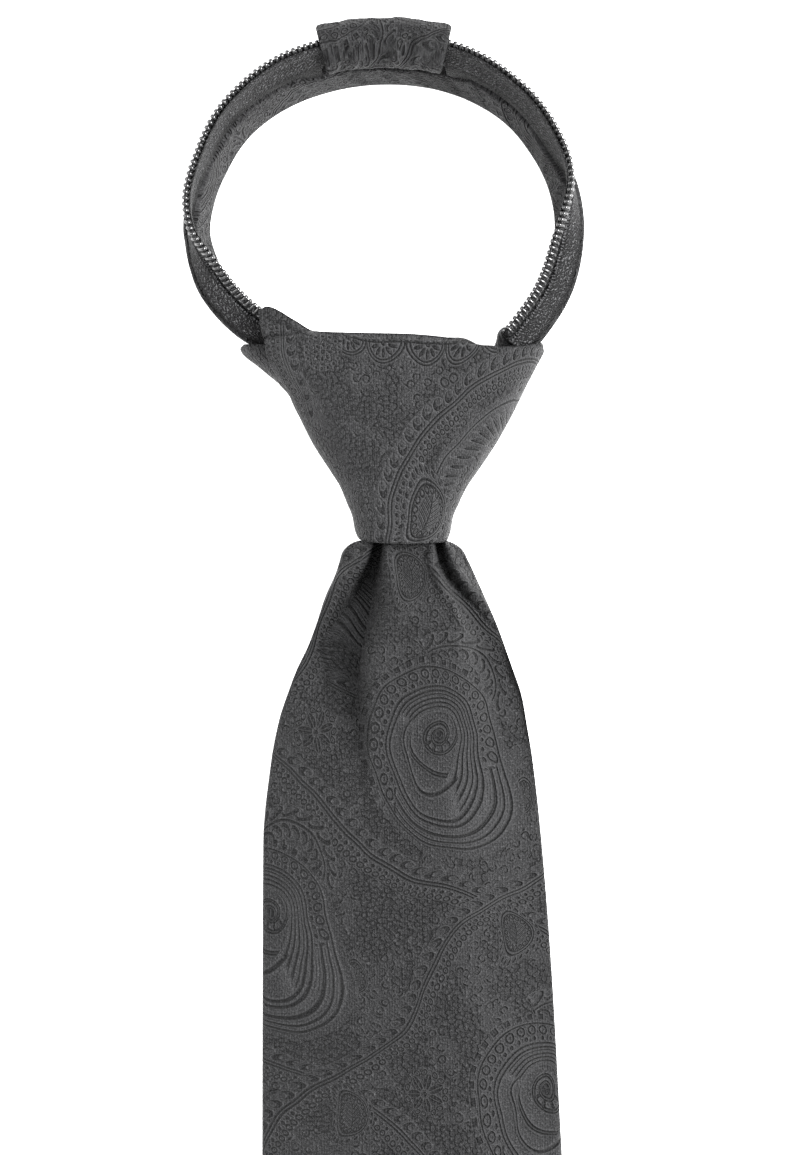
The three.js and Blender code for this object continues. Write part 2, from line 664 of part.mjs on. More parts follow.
const zipTape = ({ from, to }) =>
  loopStrip(stripOutline(TAPE_WIDTH, TAPE_THICKNESS, 2), onTape(0), from, to, 22);
const zipCoil = ({ from, to }) =>
  loopStrip(stripOutline(COIL_WIDTH, COIL_THICKNESS), onTape(COIL_START), from, to, 26);

// The sleeve is a flattened tube round tape and coil, open at both ends.
function sleeve() {
  const hollow = COIL_START + COIL_WIDTH + SLEEVE_ROOM + SLEEVE_SLACK;
  const room = COIL_THICKNESS + 2 * SEAT_GAP;
  const inner = stripOutline(hollow, room, 4);
  const outer = stripOutline(hollow + 2 * SLEEVE_WALL, room + 2 * SLEEVE_WALL, 4);
  const from = turnAtX(SLEEVE_SHIFT - SLEEVE_LENGTH / 2);
  const to = turnAtX(SLEEVE_SHIFT + SLEEVE_LENGTH / 2);
  const rings = (outline, offset) =>
    shares(10).map((t) => {
      const { start, up, through } = onTape(offset)(loopFrame(mix(from, to, t)));
      return outline.map(({ u, v }) => start.clone().addScaledVector(up, u).addScaledVector(through, v));
    });
  const innerStart = -SLEEVE_ROOM;
  return loft([...rings(outer, innerStart - SLEEVE_WALL), ...rings(inner, innerStart).reverse()], {
    joined: true,
  });
}

// Tuck: a rounded fold of cloth beside the core, under the right-hand row of coil
function rightTuck() {
  const core = table(CORE_SECTIONS, "up");
  const room = -KNOT_WALL - SEAT_GAP;
  const top = KNOT_TOP + 0.05 * KNOT_HEIGHT;
  const [right, left] = [0, 180].map((a) => knotPoint(a, 0.95, room).x);
  const start = mix(left, right, core(0.95).right) + SEAT_GAP;
  const low = knotPoint(270, 0.95, room).z;
  return loft(
    easedShares(8).map((t) => {
      const swell = Math.sqrt(Math.max(0.03, 1 - (1 - t) ** 2)) * 0.5 + 0.5 * Math.min(1, 3 * t);
      const width = TUCK_WIDTH * swell;
      const bend = TUCK_BEND * clamp(1 - 2 * t, 0, 1);
      return stripOutline(TUCK_DEPTH, width, 4).map(
        ({ u, v }) => new THREE.Vector3(start + TUCK_WIDTH / 2 + bend + v, top - t * TUCK_LENGTH, low + u),
      );
    }),
  );
}

const cloth = new THREE.MeshStandardMaterial({ color: 0x4a4a4c, roughness: 0.75, metalness: 0 });
const backCloth = new THREE.MeshStandardMaterial({ color: 0x404042, roughness: 0.8, metalness: 0 });
const tapeWeave = new THREE.MeshStandardMaterial({ color: 0x3e3e40, roughness: 0.9, metalness: 0 });
const coilPlastic = new THREE.MeshStandardMaterial({ color: 0x3a3a3c, roughness: 0.35, metalness: 0 });
const sliderMetal = new THREE.MeshStandardMaterial({ color: 0x2c2c2e, roughness: 0.45, metalness: 0.8 });

const tie = new THREE.Group();

function add(name, geometry, material) {
  const mesh = new THREE.Mesh(geometry, material);
  mesh.name = name;
  tie.add(mesh);
}

add("knot_front", knotFrontLayer(), cloth);
add("knot_under", knotUnderLayer(), cloth);
add("knot_core", knotCore(), cloth);
add("knot_tuck", rightTuck(), cloth);
add("blade", blade(), cloth);
add("neck_band", neckBand(), cloth);
add("zip_tape_left", zipTape(ROW_ENDS.left), tapeWeave);
add("zip_tape_right", zipTape(ROW_ENDS.right), tapeWeave);
add("zip_coil_left", zipCoil(ROW_ENDS.left), coilPlastic);
add("zip_coil_right", zipCoil(ROW_ENDS.right), coilPlastic);
add("sleeve", sleeve(), cloth);
add("tail_band", tailPiece(TAIL_STACK.band, 0), backCloth);
add("tail_tape", tailPiece(TAIL_STACK.tape, TAIL_TAPE_INSET, { to: 0.965 }), tapeWeave);
add("tail_coil", tailPiece(TAIL_STACK.coil, 0, { to: 0.955, width: 2 * COIL_WIDTH - 0.6 }), coilPlastic);
add("slider", slider(), sliderMetal);

export default tie;
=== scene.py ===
import bmesh
import bpy
import numpy as np
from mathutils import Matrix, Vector


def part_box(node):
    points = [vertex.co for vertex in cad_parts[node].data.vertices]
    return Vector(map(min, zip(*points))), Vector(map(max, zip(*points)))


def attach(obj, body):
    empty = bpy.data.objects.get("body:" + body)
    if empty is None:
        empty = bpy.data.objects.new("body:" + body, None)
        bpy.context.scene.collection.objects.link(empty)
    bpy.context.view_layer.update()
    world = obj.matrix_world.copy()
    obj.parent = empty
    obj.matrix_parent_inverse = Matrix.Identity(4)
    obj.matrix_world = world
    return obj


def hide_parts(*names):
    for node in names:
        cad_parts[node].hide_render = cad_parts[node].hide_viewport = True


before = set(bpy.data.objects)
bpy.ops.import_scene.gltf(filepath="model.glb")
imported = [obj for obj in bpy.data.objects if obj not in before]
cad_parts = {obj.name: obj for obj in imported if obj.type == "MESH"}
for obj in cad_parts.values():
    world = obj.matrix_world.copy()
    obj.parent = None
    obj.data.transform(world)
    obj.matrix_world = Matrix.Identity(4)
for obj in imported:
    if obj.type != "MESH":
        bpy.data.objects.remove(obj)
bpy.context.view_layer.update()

# Photograph: the tie lies on its back on a white surface, seen from straight above.
# One picture element is 0.2 mm at the surface, and the picture's middle is 27.5 mm below the knot's.
CAMERA_HEIGHT = 1.2
PICTURE_LENGTH = 0.231
PICTURE_MIDDLE = (0.0, -0.0275)
SENSOR = 36.0

bpy.ops.object.camera_add(location=(*PICTURE_MIDDLE, CAMERA_HEIGHT), rotation=(0, 0, 0))
camera = bpy.context.active_object
camera.name = "photo_camera"
camera.data.sensor_width = SENSOR
camera.data.lens = SENSOR * CAMERA_HEIGHT / PICTURE_LENGTH
camera.data.clip_start = 0.05
camera.data.clip_end = 20
bpy.context.scene.camera = camera
bpy.context.scene.view_settings.view_transform = "Standard"

# White floor, a light table, large enough to fill the view from every side.
FLOOR_SIZE = 14.0
FLOOR_COLOUR = (0.93, 0.93, 0.93, 1)
FLOOR_GLOW = 0.7

bpy.ops.object.select_all(action="DESELECT")
bpy.ops.mesh.primitive_plane_add(size=FLOOR_SIZE, location=(0, 0, -0.0004))
floor = bpy.context.active_object
floor.name = "floor"
paper = bpy.data.materials.new("white_paper")
paper.use_nodes = True
paper_shader = paper.node_tree.nodes["Principled BSDF"]
paper_shader.inputs["Base Color"].default_value = FLOOR_COLOUR
paper_shader.inputs["Roughness"].default_value = 0.9
paper_shader.inputs["Specular IOR Level"].default_value = 0.1
paper_shader.inputs["Emission Color"].default_value = FLOOR_COLOUR
paper_shader.inputs["Emission Strength"].default_value = FLOOR_GLOW
floor.data.materials.append(paper)

# Studio light: one broad soft box from the right, a weaker one from the left, and a pale room.
ROOM_COLOUR = (1.0, 1.0, 1.0, 1)
ROOM_STRENGTH = 0.85
LIGHTS = [
    # name, place, size, power
    ("key_light", (1.3, 0.2, 1.2), 0.9, 109.0),
    ("fill_light", (-1.3, 0.3, 1.2), 1.2, 28.0),
]

room = bpy.data.worlds.new("pale_room")
bpy.context.scene.world = room
room.use_nodes = True
room.node_tree.nodes["Background"].inputs["Color"].default_value = ROOM_COLOUR
room.node_tree.nodes["Background"].inputs["Strength"].default_value = ROOM_STRENGTH
for name, place, size, power in LIGHTS:
    bpy.ops.object.light_add(type="AREA", location=place)
    light = bpy.context.active_object
    light.name = name
    light.data.shape = "DISK"
    light.data.size = size
    light.data.energy = power
    light.rotation_euler = (-Vector(place)).to_track_quat("-Z", "Y").to_euler()


# ------------------------------------------------------------------ blade
# The long front blade of the tie: a bias-cut jacquard cloth folded round a woollen interlining and
# pressed, gathered into the knot with two deep pleats, which die out down the blade. It ends in a point.
MM = 0.001


def smooth(x):
    """0 to 1 with soft ends"""
    x = np.clip(x, 0.0, 1.0)
    return x * x * (3 - 2 * x)


def blend(a, b, t):
    return a + (b - a) * t


def curve(at, value):
    """A smooth curve through points that doesn't overshoot them"""
    at, value = np.asarray(at, float), np.asarray(value, float)
    slope = np.diff(value) / np.diff(at)
    tangent = np.zeros(len(at))
    tangent[0], tangent[-1] = slope[0], slope[-1]
    turning = slope[:-1] * slope[1:] > 0
    total = np.where(turning, slope[:-1] + slope[1:], 1.0)
    tangent[1:-1] = np.where(turning, 2 * slope[:-1] * slope[1:] / total, 0.0)

    def read(q):
        x = np.clip(np.asarray(q, float), at[0], at[-1])
        i = np.clip(np.searchsorted(at, x, side="right") - 1, 0, len(at) - 2)
        span = at[i + 1] - at[i]
        t = (x - at[i]) / span
        rise = t * t * (3 - 2 * t)
        ease = t * (1 - t) * ((1 - t) * tangent[i] - t * tangent[i + 1])
        return blend(value[i], value[i + 1], rise) + span * ease

    return read


def columns(rows):
    """The columns of a table as curves over its first column"""
    data = np.array(sorted(rows))
    return [curve(data[:, 0], data[:, i]) for i in range(1, data.shape[1])]


def sheet_of(name, across, along, place):
    """A grid primitive whose points are moved to place(s, t), which gives mm and flat cloth coordinates
    in mm. Edges that come to lie on each other are joined."""
    bpy.ops.object.select_all(action="DESELECT")
    bpy.ops.mesh.primitive_grid_add(x_subdivisions=across, y_subdivisions=along, size=2, calc_uvs=True)
    piece = bpy.context.active_object
    piece.name = name
    mesh = piece.data
    mesh.name = name
    flat = np.empty(3 * len(mesh.vertices))
    mesh.vertices.foreach_get("co", flat)
    s, t = (flat[0::3] + 1) / 2, (flat[1::3] + 1) / 2
    point, cloth = place(s, t)
    mesh.vertices.foreach_set("co", (np.stack(point, 1) * MM).ravel())
    corner = np.empty(len(mesh.loops), int)
    mesh.loops.foreach_get("vertex_index", corner)
    mesh.uv_layers[0].name = "cloth_mm"
    mesh.uv_layers[0].data.foreach_set("uv", np.stack(cloth, 1)[corner].ravel())
    mesh.update()
    bpy.ops.object.mode_set(mode="EDIT")
    bpy.ops.mesh.select_all(action="SELECT")
    bpy.ops.mesh.remove_doubles(threshold=2e-6)
    bpy.ops.object.mode_set(mode="OBJECT")
    bpy.ops.object.shade_smooth()
    return piece


def dressed(piece, finish, node):
    """Gives a piece its material, hangs it on the root body and hides the node that it stands for"""
    piece.data.materials.append(finish)
    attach(piece, "root")
    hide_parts(node)


def edge_share(width, thickness):
    """How much of a strip's way round is its two rounded edges"""
    return min(0.9, 2.22 * (thickness / 2 / width) ** 0.5)


def round_strip(s, edge):
    """Way round a flat closed strip: share across it, and side from 1 on its face to -1 on its back"""
    turn = np.sin(2 * np.pi * s)
    side = np.sign(turn) * np.sin(np.minimum(np.abs(turn) / edge, 1) * np.pi / 2)
    return (1 - np.cos(2 * np.pi * s)) / 2, side


def unrolled(s, side, x, half, thickness):
    """The same way round, laid flat: the face, the right edge, then the back, in mm"""
    lap = np.where(s < 0.25, side - 1, np.where(s <= 0.75, 1 - side, 3 + side)) / 2 * thickness
    return np.where(s <= 0.5, x, 2 * half - x) + lap


def end_round(distance, radius):
    """Narrows a strip's thickness to nothing at its end"""
    x = np.clip(distance / radius, 0, 1)
    return np.sqrt(1 - (1 - x) ** 2)


class Yarn:
    """A value in a material's nodes that Python's operators work on"""

    def __init__(self, socket):
        self.socket = socket

    def node(self, kind, settings=None, inputs=None, output=0):
        """Any node: its type, its settings, the values or links of its sockets, and the output to read"""
        tree = self.socket.id_data
        made = tree.nodes.new("ShaderNode" + kind)
        for key, value in (settings or {}).items():
            setattr(made, key, value)
        for key, value in (inputs or {}).items():
            if isinstance(value, Yarn):
                tree.links.new(value.socket, made.inputs[key])
            else:
                made.inputs[key].default_value = value
        return Yarn(made.outputs[output])

    def math(self, operation, *others):
        return self.node("Math", {"operation": operation}, dict(enumerate((self, *others))))

    def __add__(self, other):
        return self.math("ADD", other)

    __radd__ = __add__

    def __sub__(self, other):
        return self.math("SUBTRACT", other)

    def __rsub__(self, other):
        return self.math("MULTIPLY_ADD", -1.0, other)

    def __mul__(self, other):
        return self.math("MULTIPLY", other)

    __rmul__ = __mul__

    def __truediv__(self, other):
        return self.math("DIVIDE", other)

    def __abs__(self):
        return self.math("ABSOLUTE")

    def least(self, *others):
        value = self
        for other in others:
            value = value.math("MINIMUM", other)
        return value

    def most(self, *others):
        value = self
        for other in others:
            value = value.math("MAXIMUM", other)
        return value

    def near(self, pitch):
        """How far it is from the nearest whole multiple of pitch"""
        return self.math("PINGPONG", pitch / 2)

    def across(self, other):
        """The length of two values at right angles"""
        flat = self.node("CombineXYZ", inputs={"X": self, "Y": other})
        return self.node("VectorMath", {"operation": "LENGTH"}, {0: flat}, "Value")

    def soft(self, start, end, first=0.0, last=1.0):
        """A smooth step from first at start to last at end"""
        return self.node("MapRange", {"interpolation_type": "SMOOTHSTEP"}, {
            "Value": self, "From Min": start, "From Max": end, "To Min": first, "To Max": last,
        })

    def noise(self, scale, detail, output=0):
        """Noise over the cloth, for a vector in mm"""
        values = {"Vector": self, "Scale": scale, "Detail": detail}
        return self.node("TexNoise", {"noise_dimensions": "2D"}, values, output)

    def cells(self, scale):
        """How far a place is from the middle of its cell"""
        values = {"Vector": self, "Scale": scale}
        return self.node("TexVoronoi", {"voronoi_dimensions": "2D"}, values, "Distance")

    def split(self):
        """The x and y of a vector"""
        x = self.node("SeparateXYZ", inputs={0: self})
        return x, Yarn(x.socket.node.outputs["Y"])

    def tint(self, dark, light):
        """A colour from dark to light"""
        return self.node("Mix", {"data_type": "RGBA"}, {0: self, 6: (*dark, 1), 7: (*light, 1)}, 2)

    def bump(self, strength, distance):
        return self.node("Bump", None, {"Height": self, "Strength": strength, "Distance": distance})


def new_finish(name):
    """An empty material, and the cloth coordinates in mm"""
    finish = bpy.data.materials.new(name)
    finish.use_nodes = True
    place = finish.node_tree.nodes.new("ShaderNodeUVMap")
    place.uv_map = "cloth_mm"
    return finish, Yarn(place.outputs[0])


def feed(finish, varying, constant):
    """Sets the shader's sockets: values that vary over the surface, and constants"""
    inputs = finish.node_tree.nodes["Principled BSDF"].inputs
    for key, value in varying.items():
        finish.node_tree.links.new(value.socket, inputs[key])
    for key, value in constant.items():
        inputs[key].default_value = value
    return finish


def shaded(colour, share):
    return [c * share for c in colour]


ONCE_ROUND = 6.2832


def polar(x, y):
    return x.across(y), y.math("ARCTAN2", x)


def dots(r, angle, radius, count):
    """How far a place is from the nearest of a ring of points"""
    return (angle * radius).near(ONCE_ROUND * radius / count).across(r - radius)


# The woven motifs. Each gives how far a point is from its lines, in mm, and from its outer edge.
def curled_drop(x, y):
    """A large paisley drop: a curl with petals at its eye, nested lines that run out into a bent tail,
    and beads, lace and squares round it"""
    r, angle = polar(x, y)
    # the outlines lie closer together on one side and reach out at the tail
    tail = ((angle + 2.3 - r * 0.055).math("COSINE") * 0.5 + 0.5).math("POWER", 4.0)
    round_r = r * ((angle - 0.5).math("COSINE") * 0.13 + 1.0) * (1.0 - tail * 0.4)
    in_tail = (tail - 0.35) * 4.0
    # the curl inside: one arm that opens quickly round a dark eye
    arm = r.most(0.3).math("LOGARITHM", 2.1) - angle / ONCE_ROUND
    arm = abs(arm.math("WRAP", 0.5, -0.5) * r * 0.742)
    arm = (abs(arm - 0.25) - 0.14).most(1.2 - r, round_r - 5.0)
    petals = (angle.near(0.7) * r).across((r - 2.7) * 0.42) - 0.36
    curl = arm.least(r - 0.95, petals.most(y + x * 0.4 + 0.4))
    facing = (angle - 0.6).math("COSINE") * 2.0
    flow = (round_r.near(0.86) - 0.14).most(abs(round_r - 7.0) - 1.6, facing * -1.0 - 0.7)
    wave = abs(round_r - 6.2 - (angle * 5).math("SINE") * 0.4) - 0.14
    flow = flow.least(wave.most(facing + 0.5))
    ring = abs(abs(round_r - 9.6) - 0.42) - 0.16
    beads = dots(round_r, angle, 11.0, 38) - 0.36
    loops = abs(dots(round_r, angle, 12.6, 30) - 0.8) - 0.15
    streaks = (abs(round_r.near(1.3) - 0.1) - 0.12).most(abs(round_r - 12.0) - 1.0, in_tail * -1.0)
    beads = beads.least(loops).most(in_tail).least(streaks)
    rim = abs(round_r - 13.9) - 0.15
    squares = (angle * 15.4).near(ONCE_ROUND * 15.4 / 34).most(abs(round_r - 15.4)) - 0.6
    squares = squares.most((angle - 2.1).math("COSINE") * -2.0)
    return curl.least(flow, ring, beads, rim, squares), round_r - 15.6


def leaf_drop(x, y):
    """A small paisley drop with a leaf's veins in it and a ring of beads"""
    bent = (y * y).math("MULTIPLY_ADD", 0.05, x)
    r, angle = polar(bent, y * 0.68)
    outline = abs(abs(r - 4.2) - 0.3) - 0.12
    rib = abs(bent)
    veins = (rib - y).near(1.15).least(rib) - 0.12
    lace = abs(dots(r, angle, 3.3, 16) - 0.45) - 0.1
    beads = dots(r, angle, 5.6, 24) - 0.36
    return outline.least(veins.most(r - 2.5), lace, beads), r - 6.3


def flower(x, y):
    """A round flower with eight petals"""
    r, angle = polar(x, y)
    petals = abs(r - 2.5 - (angle * 8).math("COSINE") * 0.5) - 0.12
    inner = (angle * 1.6).near(ONCE_ROUND * 1.6 / 8).across((r - 1.6) * 0.6) - 0.28
    beads = dots(r, angle, 3.9, 16) - 0.3
    return petals.least(inner, r - 0.5, beads), r - 4.5


def stem(off, along):
    """A double line with beads and lace on its right and hooked leaves on its left"""
    lines = abs(abs(off) - 0.32) - 0.13
    beads = along.near(1.5).across(off - 1.3) - 0.33
    lace = abs(along.near(1.5).across(off - 2.5) - 0.5) - 0.1
    turned = (along + off * 0.5).math("WRAP", 1.4, -1.4)
    leaves = (turned.across(off + 1.9) - 1.0).most(0.85 - (turned - 0.5).across(off + 2.3))
    return lines.least(beads, lace, leaves), abs(off) - 3.2


def sprig(x, y):
    """A bent twig with hooked leaves on both sides"""
    r, angle = polar(x, y)
    off = abs(r - 8.0)
    along = angle * 8.0
    turned = (along + off * 0.8).math("WRAP", 1.25, -1.25)
    leaves = (turned.across(off - 1.6) - 1.05).most(0.85 - (turned - 0.45).across(off - 1.9))
    behind = x * -1.0
    return (off - 0.16).least(leaves).most(behind), (off - 2.9).most(behind)


def rosette(x, y):
    """Seven solid petals with a vein each, round a small eye"""
    r, angle = polar(x, y)
    side = angle.near(ONCE_ROUND / 7) * r
    petals = (side.across((r - 3.3) * 0.5) - 0.95).most(0.16 - side, 1.3 - r)
    curls = abs((side - 1.5).across(r - 5.6) - 0.7) - 0.14
    return petals.least(r - 0.6, curls), r - 6.4


def over(upper, lower):
    """Lays one motif over others, which end at its outer edge"""
    return upper[0].least(lower[0].most(upper[1] * -1.0)), upper[1].least(lower[1])


# The design repeats on a skewed grid. A motif's copies lie one step of it apart.
REPEAT_A = (-33.4, -35.6)
REPEAT_B = (55.0, -35.6)
REPEAT_AREA = REPEAT_A[0] * REPEAT_B[1] - REPEAT_B[0] * REPEAT_A[1]


def grid_place(point):
    """A place in mm as shares of the two repeats"""
    x, y = point
    return (
        (x * REPEAT_B[1] - y * REPEAT_B[0]) / REPEAT_AREA,
        (y * REPEAT_A[0] - x * REPEAT_A[1]) / REPEAT_AREA,
    )


def round_copies(p, q, centre, turn, size):
    """x and y in mm from the nearest copy of a motif's centre, turned by an angle and sized"""
    p0, q0 = grid_place(centre)
    p = p.math("WRAP", p0 + 0.5, p0 - 0.5)
    q = q.math("WRAP", q0 + 0.5, q0 - 0.5)
    cosine, sine = np.cos(np.radians(turn)), np.sin(np.radians(turn))
    rows = [((cosine, sine), size[0]), ((-sine, cosine), size[1])]
    out = []
    for (fx, fy), scale in rows:
        pa = float((REPEAT_A[0] * fx + REPEAT_A[1] * fy) / scale)
        qa = float((REPEAT_B[0] * fx + REPEAT_B[1] * fy) / scale)
        start = float(-(centre[0] * fx + centre[1] * fy) / scale)
        out.append(p.math("MULTIPLY_ADD", pa, q.math("MULTIPLY_ADD", qa, start)))
    return out


MOTIFS = [
    # motif, centre of one copy, turn, size
    (curled_drop, (7.4, -59.0), 8, (0.86, 1.06)),
    (leaf_drop, (2.3, -27.4), 4, (0.66, 0.72)),
    (rosette, (5.0, -130.0), 20, (0.62, 0.74)),
    (leaf_drop, (24.0, -72.0), -35, (0.6, 0.6)),
    (sprig, (-23.0, -84.0), 40, (1.0, 1.0)),
]


def allover_design(x, y):
    """The whole repeating design of the blade's cloth"""
    pa, pb = REPEAT_B[1] / REPEAT_AREA, -REPEAT_B[0] / REPEAT_AREA
    qa, qb = -REPEAT_A[1] / REPEAT_AREA, REPEAT_A[0] / REPEAT_AREA
    p = x.math("MULTIPLY_ADD", pa, y * pb)
    q = x.math("MULTIPLY_ADD", qa, y * qb)
    drop_p, drop_q = grid_place(MOTIFS[0][1])
    found = None
    for motif, centre, turn, size in MOTIFS:
        drawn = motif(*round_copies(p, q, centre, turn, size))
        found = over(found, drawn) if found else drawn
    first_wave = p.math("MULTIPLY_ADD", ONCE_ROUND, 1.0).math("SINE")
    first = first_wave.math("MULTIPLY_ADD", -0.05, q).math("WRAP", drop_q + 1.0, drop_q) - (drop_q + 0.5)
    found = over(found, stem(first * 64.5, p * 48.8))
    second_wave = q.math("MULTIPLY_ADD", ONCE_ROUND, -0.6).math("SINE")
    second = second_wave.math("MULTIPLY_ADD", 0.06, p).math("WRAP", drop_p + 1.0, drop_p) - (drop_p + 0.5)
    return over(found, stem(second * 48.0, q * 65.5))


CLOTH_LIGHT = (0.0386, 0.0386, 0.0399)
CLOTH_DARK = (0.0035, 0.0035, 0.0038)
RIB_PITCH = 0.5
WANDER = 3.0


def figured_cloth(name, design, painted_lightness=1.0):
    """Jacquard: a satin ground with fine ribs, and a design in the same colour whose lines lie lower. Its
    last argument paints the whole cloth lighter, as painted light.
    """
    finish, flat = new_finish(name)
    x, y = flat.split()
    # the drawing wanders a little, as the cloth was pulled and pressed
    wander, drift = flat.noise(0.07, 1.0, "Color").split()
    lines, edge = design(
        wander.math("MULTIPLY_ADD", WANDER, x - WANDER / 2),
        drift.math("MULTIPLY_ADD", WANDER, y - WANDER / 2),
    )
    # the ground between the motifs: short arcs, and patches of pebbles
    cloud = flat.noise(0.11, 1.5)
    arcs = abs(flat.cells(0.4) * 2.5 - 0.7) - 0.15
    arcs = arcs.most((flat.noise(0.8, 0.0) - 0.5) * 5.0, 0.35 - edge)
    pebbles = (0.5 - flat.cells(1.0)).most((0.49 - cloud) * 3.0, 0.2 - edge).soft(-0.05, 0.16, 1.0, 0.0)
    lines = lines.least(arcs.most((cloud - 0.48) * 12.0))
    # a drawn line is dark and low; the cloth beside it stands up and gets a painted highlight along it
    drawn = lines.soft(-0.12, 0.14, 1.0, 0.0)
    painted_highlight_rim = lines.soft(0.1, 0.6, 1.0, 0.0) - drawn
    grain = flat.noise(2.3, 3.0).soft(0.3, 0.7)
    rib = (x * (ONCE_ROUND / RIB_PITCH)).math("SINE")
    tone = drawn.math("MULTIPLY_ADD", -0.28, grain * 0.42) + painted_highlight_rim * 0.34 + pebbles * -0.2 + rib * 0.07 + 0.25
    height = drawn.math("MULTIPLY_ADD", -1.0, painted_highlight_rim * 0.4) + pebbles * -0.8 + rib * 0.03 + grain * 0.25
    return feed(finish, {
        "Base Color": tone.tint(shaded(CLOTH_DARK, painted_lightness), shaded(CLOTH_LIGHT, painted_lightness)),
        "Roughness": drawn.math("MULTIPLY_ADD", 0.16, 0.5),
        "Normal": height.bump(1.0, 0.0008),
    }, {"Specular IOR Level": 0.12, "Sheen Weight": 0.03, "Sheen Roughness": 0.4})


KNOT_HALF = 30.0
KNOT_HEIGHT = 40.9
KNOT_FOOT = -KNOT_HEIGHT / 2
KNOT_DEPTH = 20.0
KNOT_WALL = 1.5
GAP = 0.3
FRONT_EASE = 0.25
FRONT_LAYER = 1.2
FRONT_BUILD = GAP + FRONT_EASE + FRONT_LAYER

BLADE_HALF = 38.0
BLADE_LENGTH = 438.0
BLADE_RUN = BLADE_LENGTH - BLADE_HALF
BLADE_THICKNESS = 3.6
BLADE_TUCK = 9.5
BLADE_POINT = 0.8
TAIL_LENGTH = 215.0
TAIL_HALF = 7.5
TAIL_TOP = 3.9
BLADE_TABLE = [
    # drop, left, right, rise, edge, thick
    (0, -0.108, 0.14, 1.64, 1.64, 1.7),
    (0.0009, -0.112, 0.145, 1.64, 1.64, 1.7),
    (0.0026, -0.235, 0.262, 1.64, 1.62, 1.85),
    (0.0042, -0.267, 0.297, 1.63, 1.4, 1.9),
    (0.0095, -0.319, 0.356, 1.61, 1.2, 1.9),
    (0.0155, -0.348, 0.4, 1.56, 1, 1.85),
    (0.0275, -0.407, 0.46, 1.46, 0.7, 1.75),
    (0.04, -0.45, 0.518, 1.3, 0.45, 1.62),
    (0.0515, -0.495, 0.563, 1.22, 0.28, 1.5),
    (0.0635, -0.551, 0.603, 1.18, 0.15, 1.4),
    (0.0755, -0.592, 0.639, 1.16, 0.07, 1.3),
    (0.09, -0.638, 0.665, 1.15, 0.03, 1.2),
    (0.11, -0.678, 0.699, 1.14, 0, 1.1),
    (0.15, -0.719, 0.745, 1.14, 0, 1.03),
    (0.21, -0.722, 0.795, 1.14, 0, 1),
    (0.31, -0.724, 0.854, 1.14, 0, 1),
]
# The pleats: where each lies between the blade's edges, how deep it is in mm, and how wide its steep inner
# flank and its soft outer flank are in mm
LEFT_PLEAT = [
    # below the foot in mm, x of its deepest line, depth, inner flank, outer flank, puff of its lips
    (0, -4.1, 5.0, 0.8, 1.0, 0.8),
    (3.8, -4.9, 6.0, 1.2, 1.7, 1.8),
    (8, -6.3, 7.0, 2.1, 2.9, 2.2),
    (13, -7.7, 7.2, 3.1, 4.6, 1.8),
    (21, -9.9, 6.7, 3.0, 6.2, 1.3),
    (28, -10.3, 5.0, 2.8, 6.2, 0.9),
    (38, -9.8, 2.7, 3.0, 5.4, 0.4),
    (60, -9.8, 0, 4.0, 6.0, 0),
]
RIGHT_PLEAT = [
    (0, 7.3, 3.6, 0.6, 0.9, 0.6),
    (4.8, 8.6, 3.8, 1.0, 1.4, 1.2),
    (9.8, 11.2, 3.6, 1.1, 1.9, 1.5),
    (13.5, 13.2, 2.7, 1.2, 2.5, 1.1),
    (18, 15.2, 1.6, 1.6, 2.8, 0.7),
    (26, 18.0, 1.0, 2.4, 4.0, 0.4),
    (44, 21.0, 0, 3.0, 5.0, 0),
]

b_left, b_right, b_rise, b_edge, b_thick = columns(BLADE_TABLE)
pleats = [(columns(LEFT_PLEAT), 1), (columns(RIGHT_PLEAT), -1)]
LEAN_FROM, LEAN_TO = 0.21, 0.31


def blade_middle(drop):
    return (b_left(drop) + b_right(drop)) / 2 * BLADE_HALF


LEAN = float(blade_middle(LEAN_TO) - blade_middle(LEAN_FROM)) / ((LEAN_TO - LEAN_FROM) * BLADE_RUN)


def lean_at(below):
    """How far right the blade's middle line is, for a distance below the knot's foot"""
    return float(blade_middle(LEAN_TO)) + LEAN * (below - LEAN_TO * BLADE_RUN)


# The blade narrows from this far above the foot, inside the knot
NECK = 0.44
SHOULDER_ROUND = 1.7
SHOULDER_INSET = 0.55
PRESSED = 0.62
LOBE_FALL = 2.0
SEAM_HEIGHT = 0.55


def pleat_dip(x, below):
    """How deep the two pleats are at a place, less the puff of their lips"""
    dip = 0
    for (p_x, p_depth, p_inner, p_outer, p_puff), way in pleats:
        off = (x - p_x(below)) * way
        inner = off > 0
        off = off / np.where(inner, p_inner(below), p_outer(below))
        lips = np.exp(-((off - 2.1) / 1.1) ** 2) + np.exp(-(off + 2) ** 2)
        dip = dip + p_depth(below) * np.exp(-np.abs(off) ** np.where(inner, 4.0, 2.4)) - p_puff(below) * lips
    return dip


def crease_relief(x, y):
    """Soft creases that run on from the pleats"""
    relief = 0
    for x0, y0, x1, y1, width, depth in CREASES:
        length = np.hypot(x1 - x0, y1 - y0)
        along = ((x - x0) * (x1 - x0) + (y - y0) * (y1 - y0)) / length
        off = ((x - x0) * (y1 - y0) - (y - y0) * (x1 - x0)) / length
        fade = smooth((along + 2) / 6) * smooth((length - along) / (0.6 * length))
        relief = relief - depth * fade * np.exp(-((off / width) ** 2))
    return relief


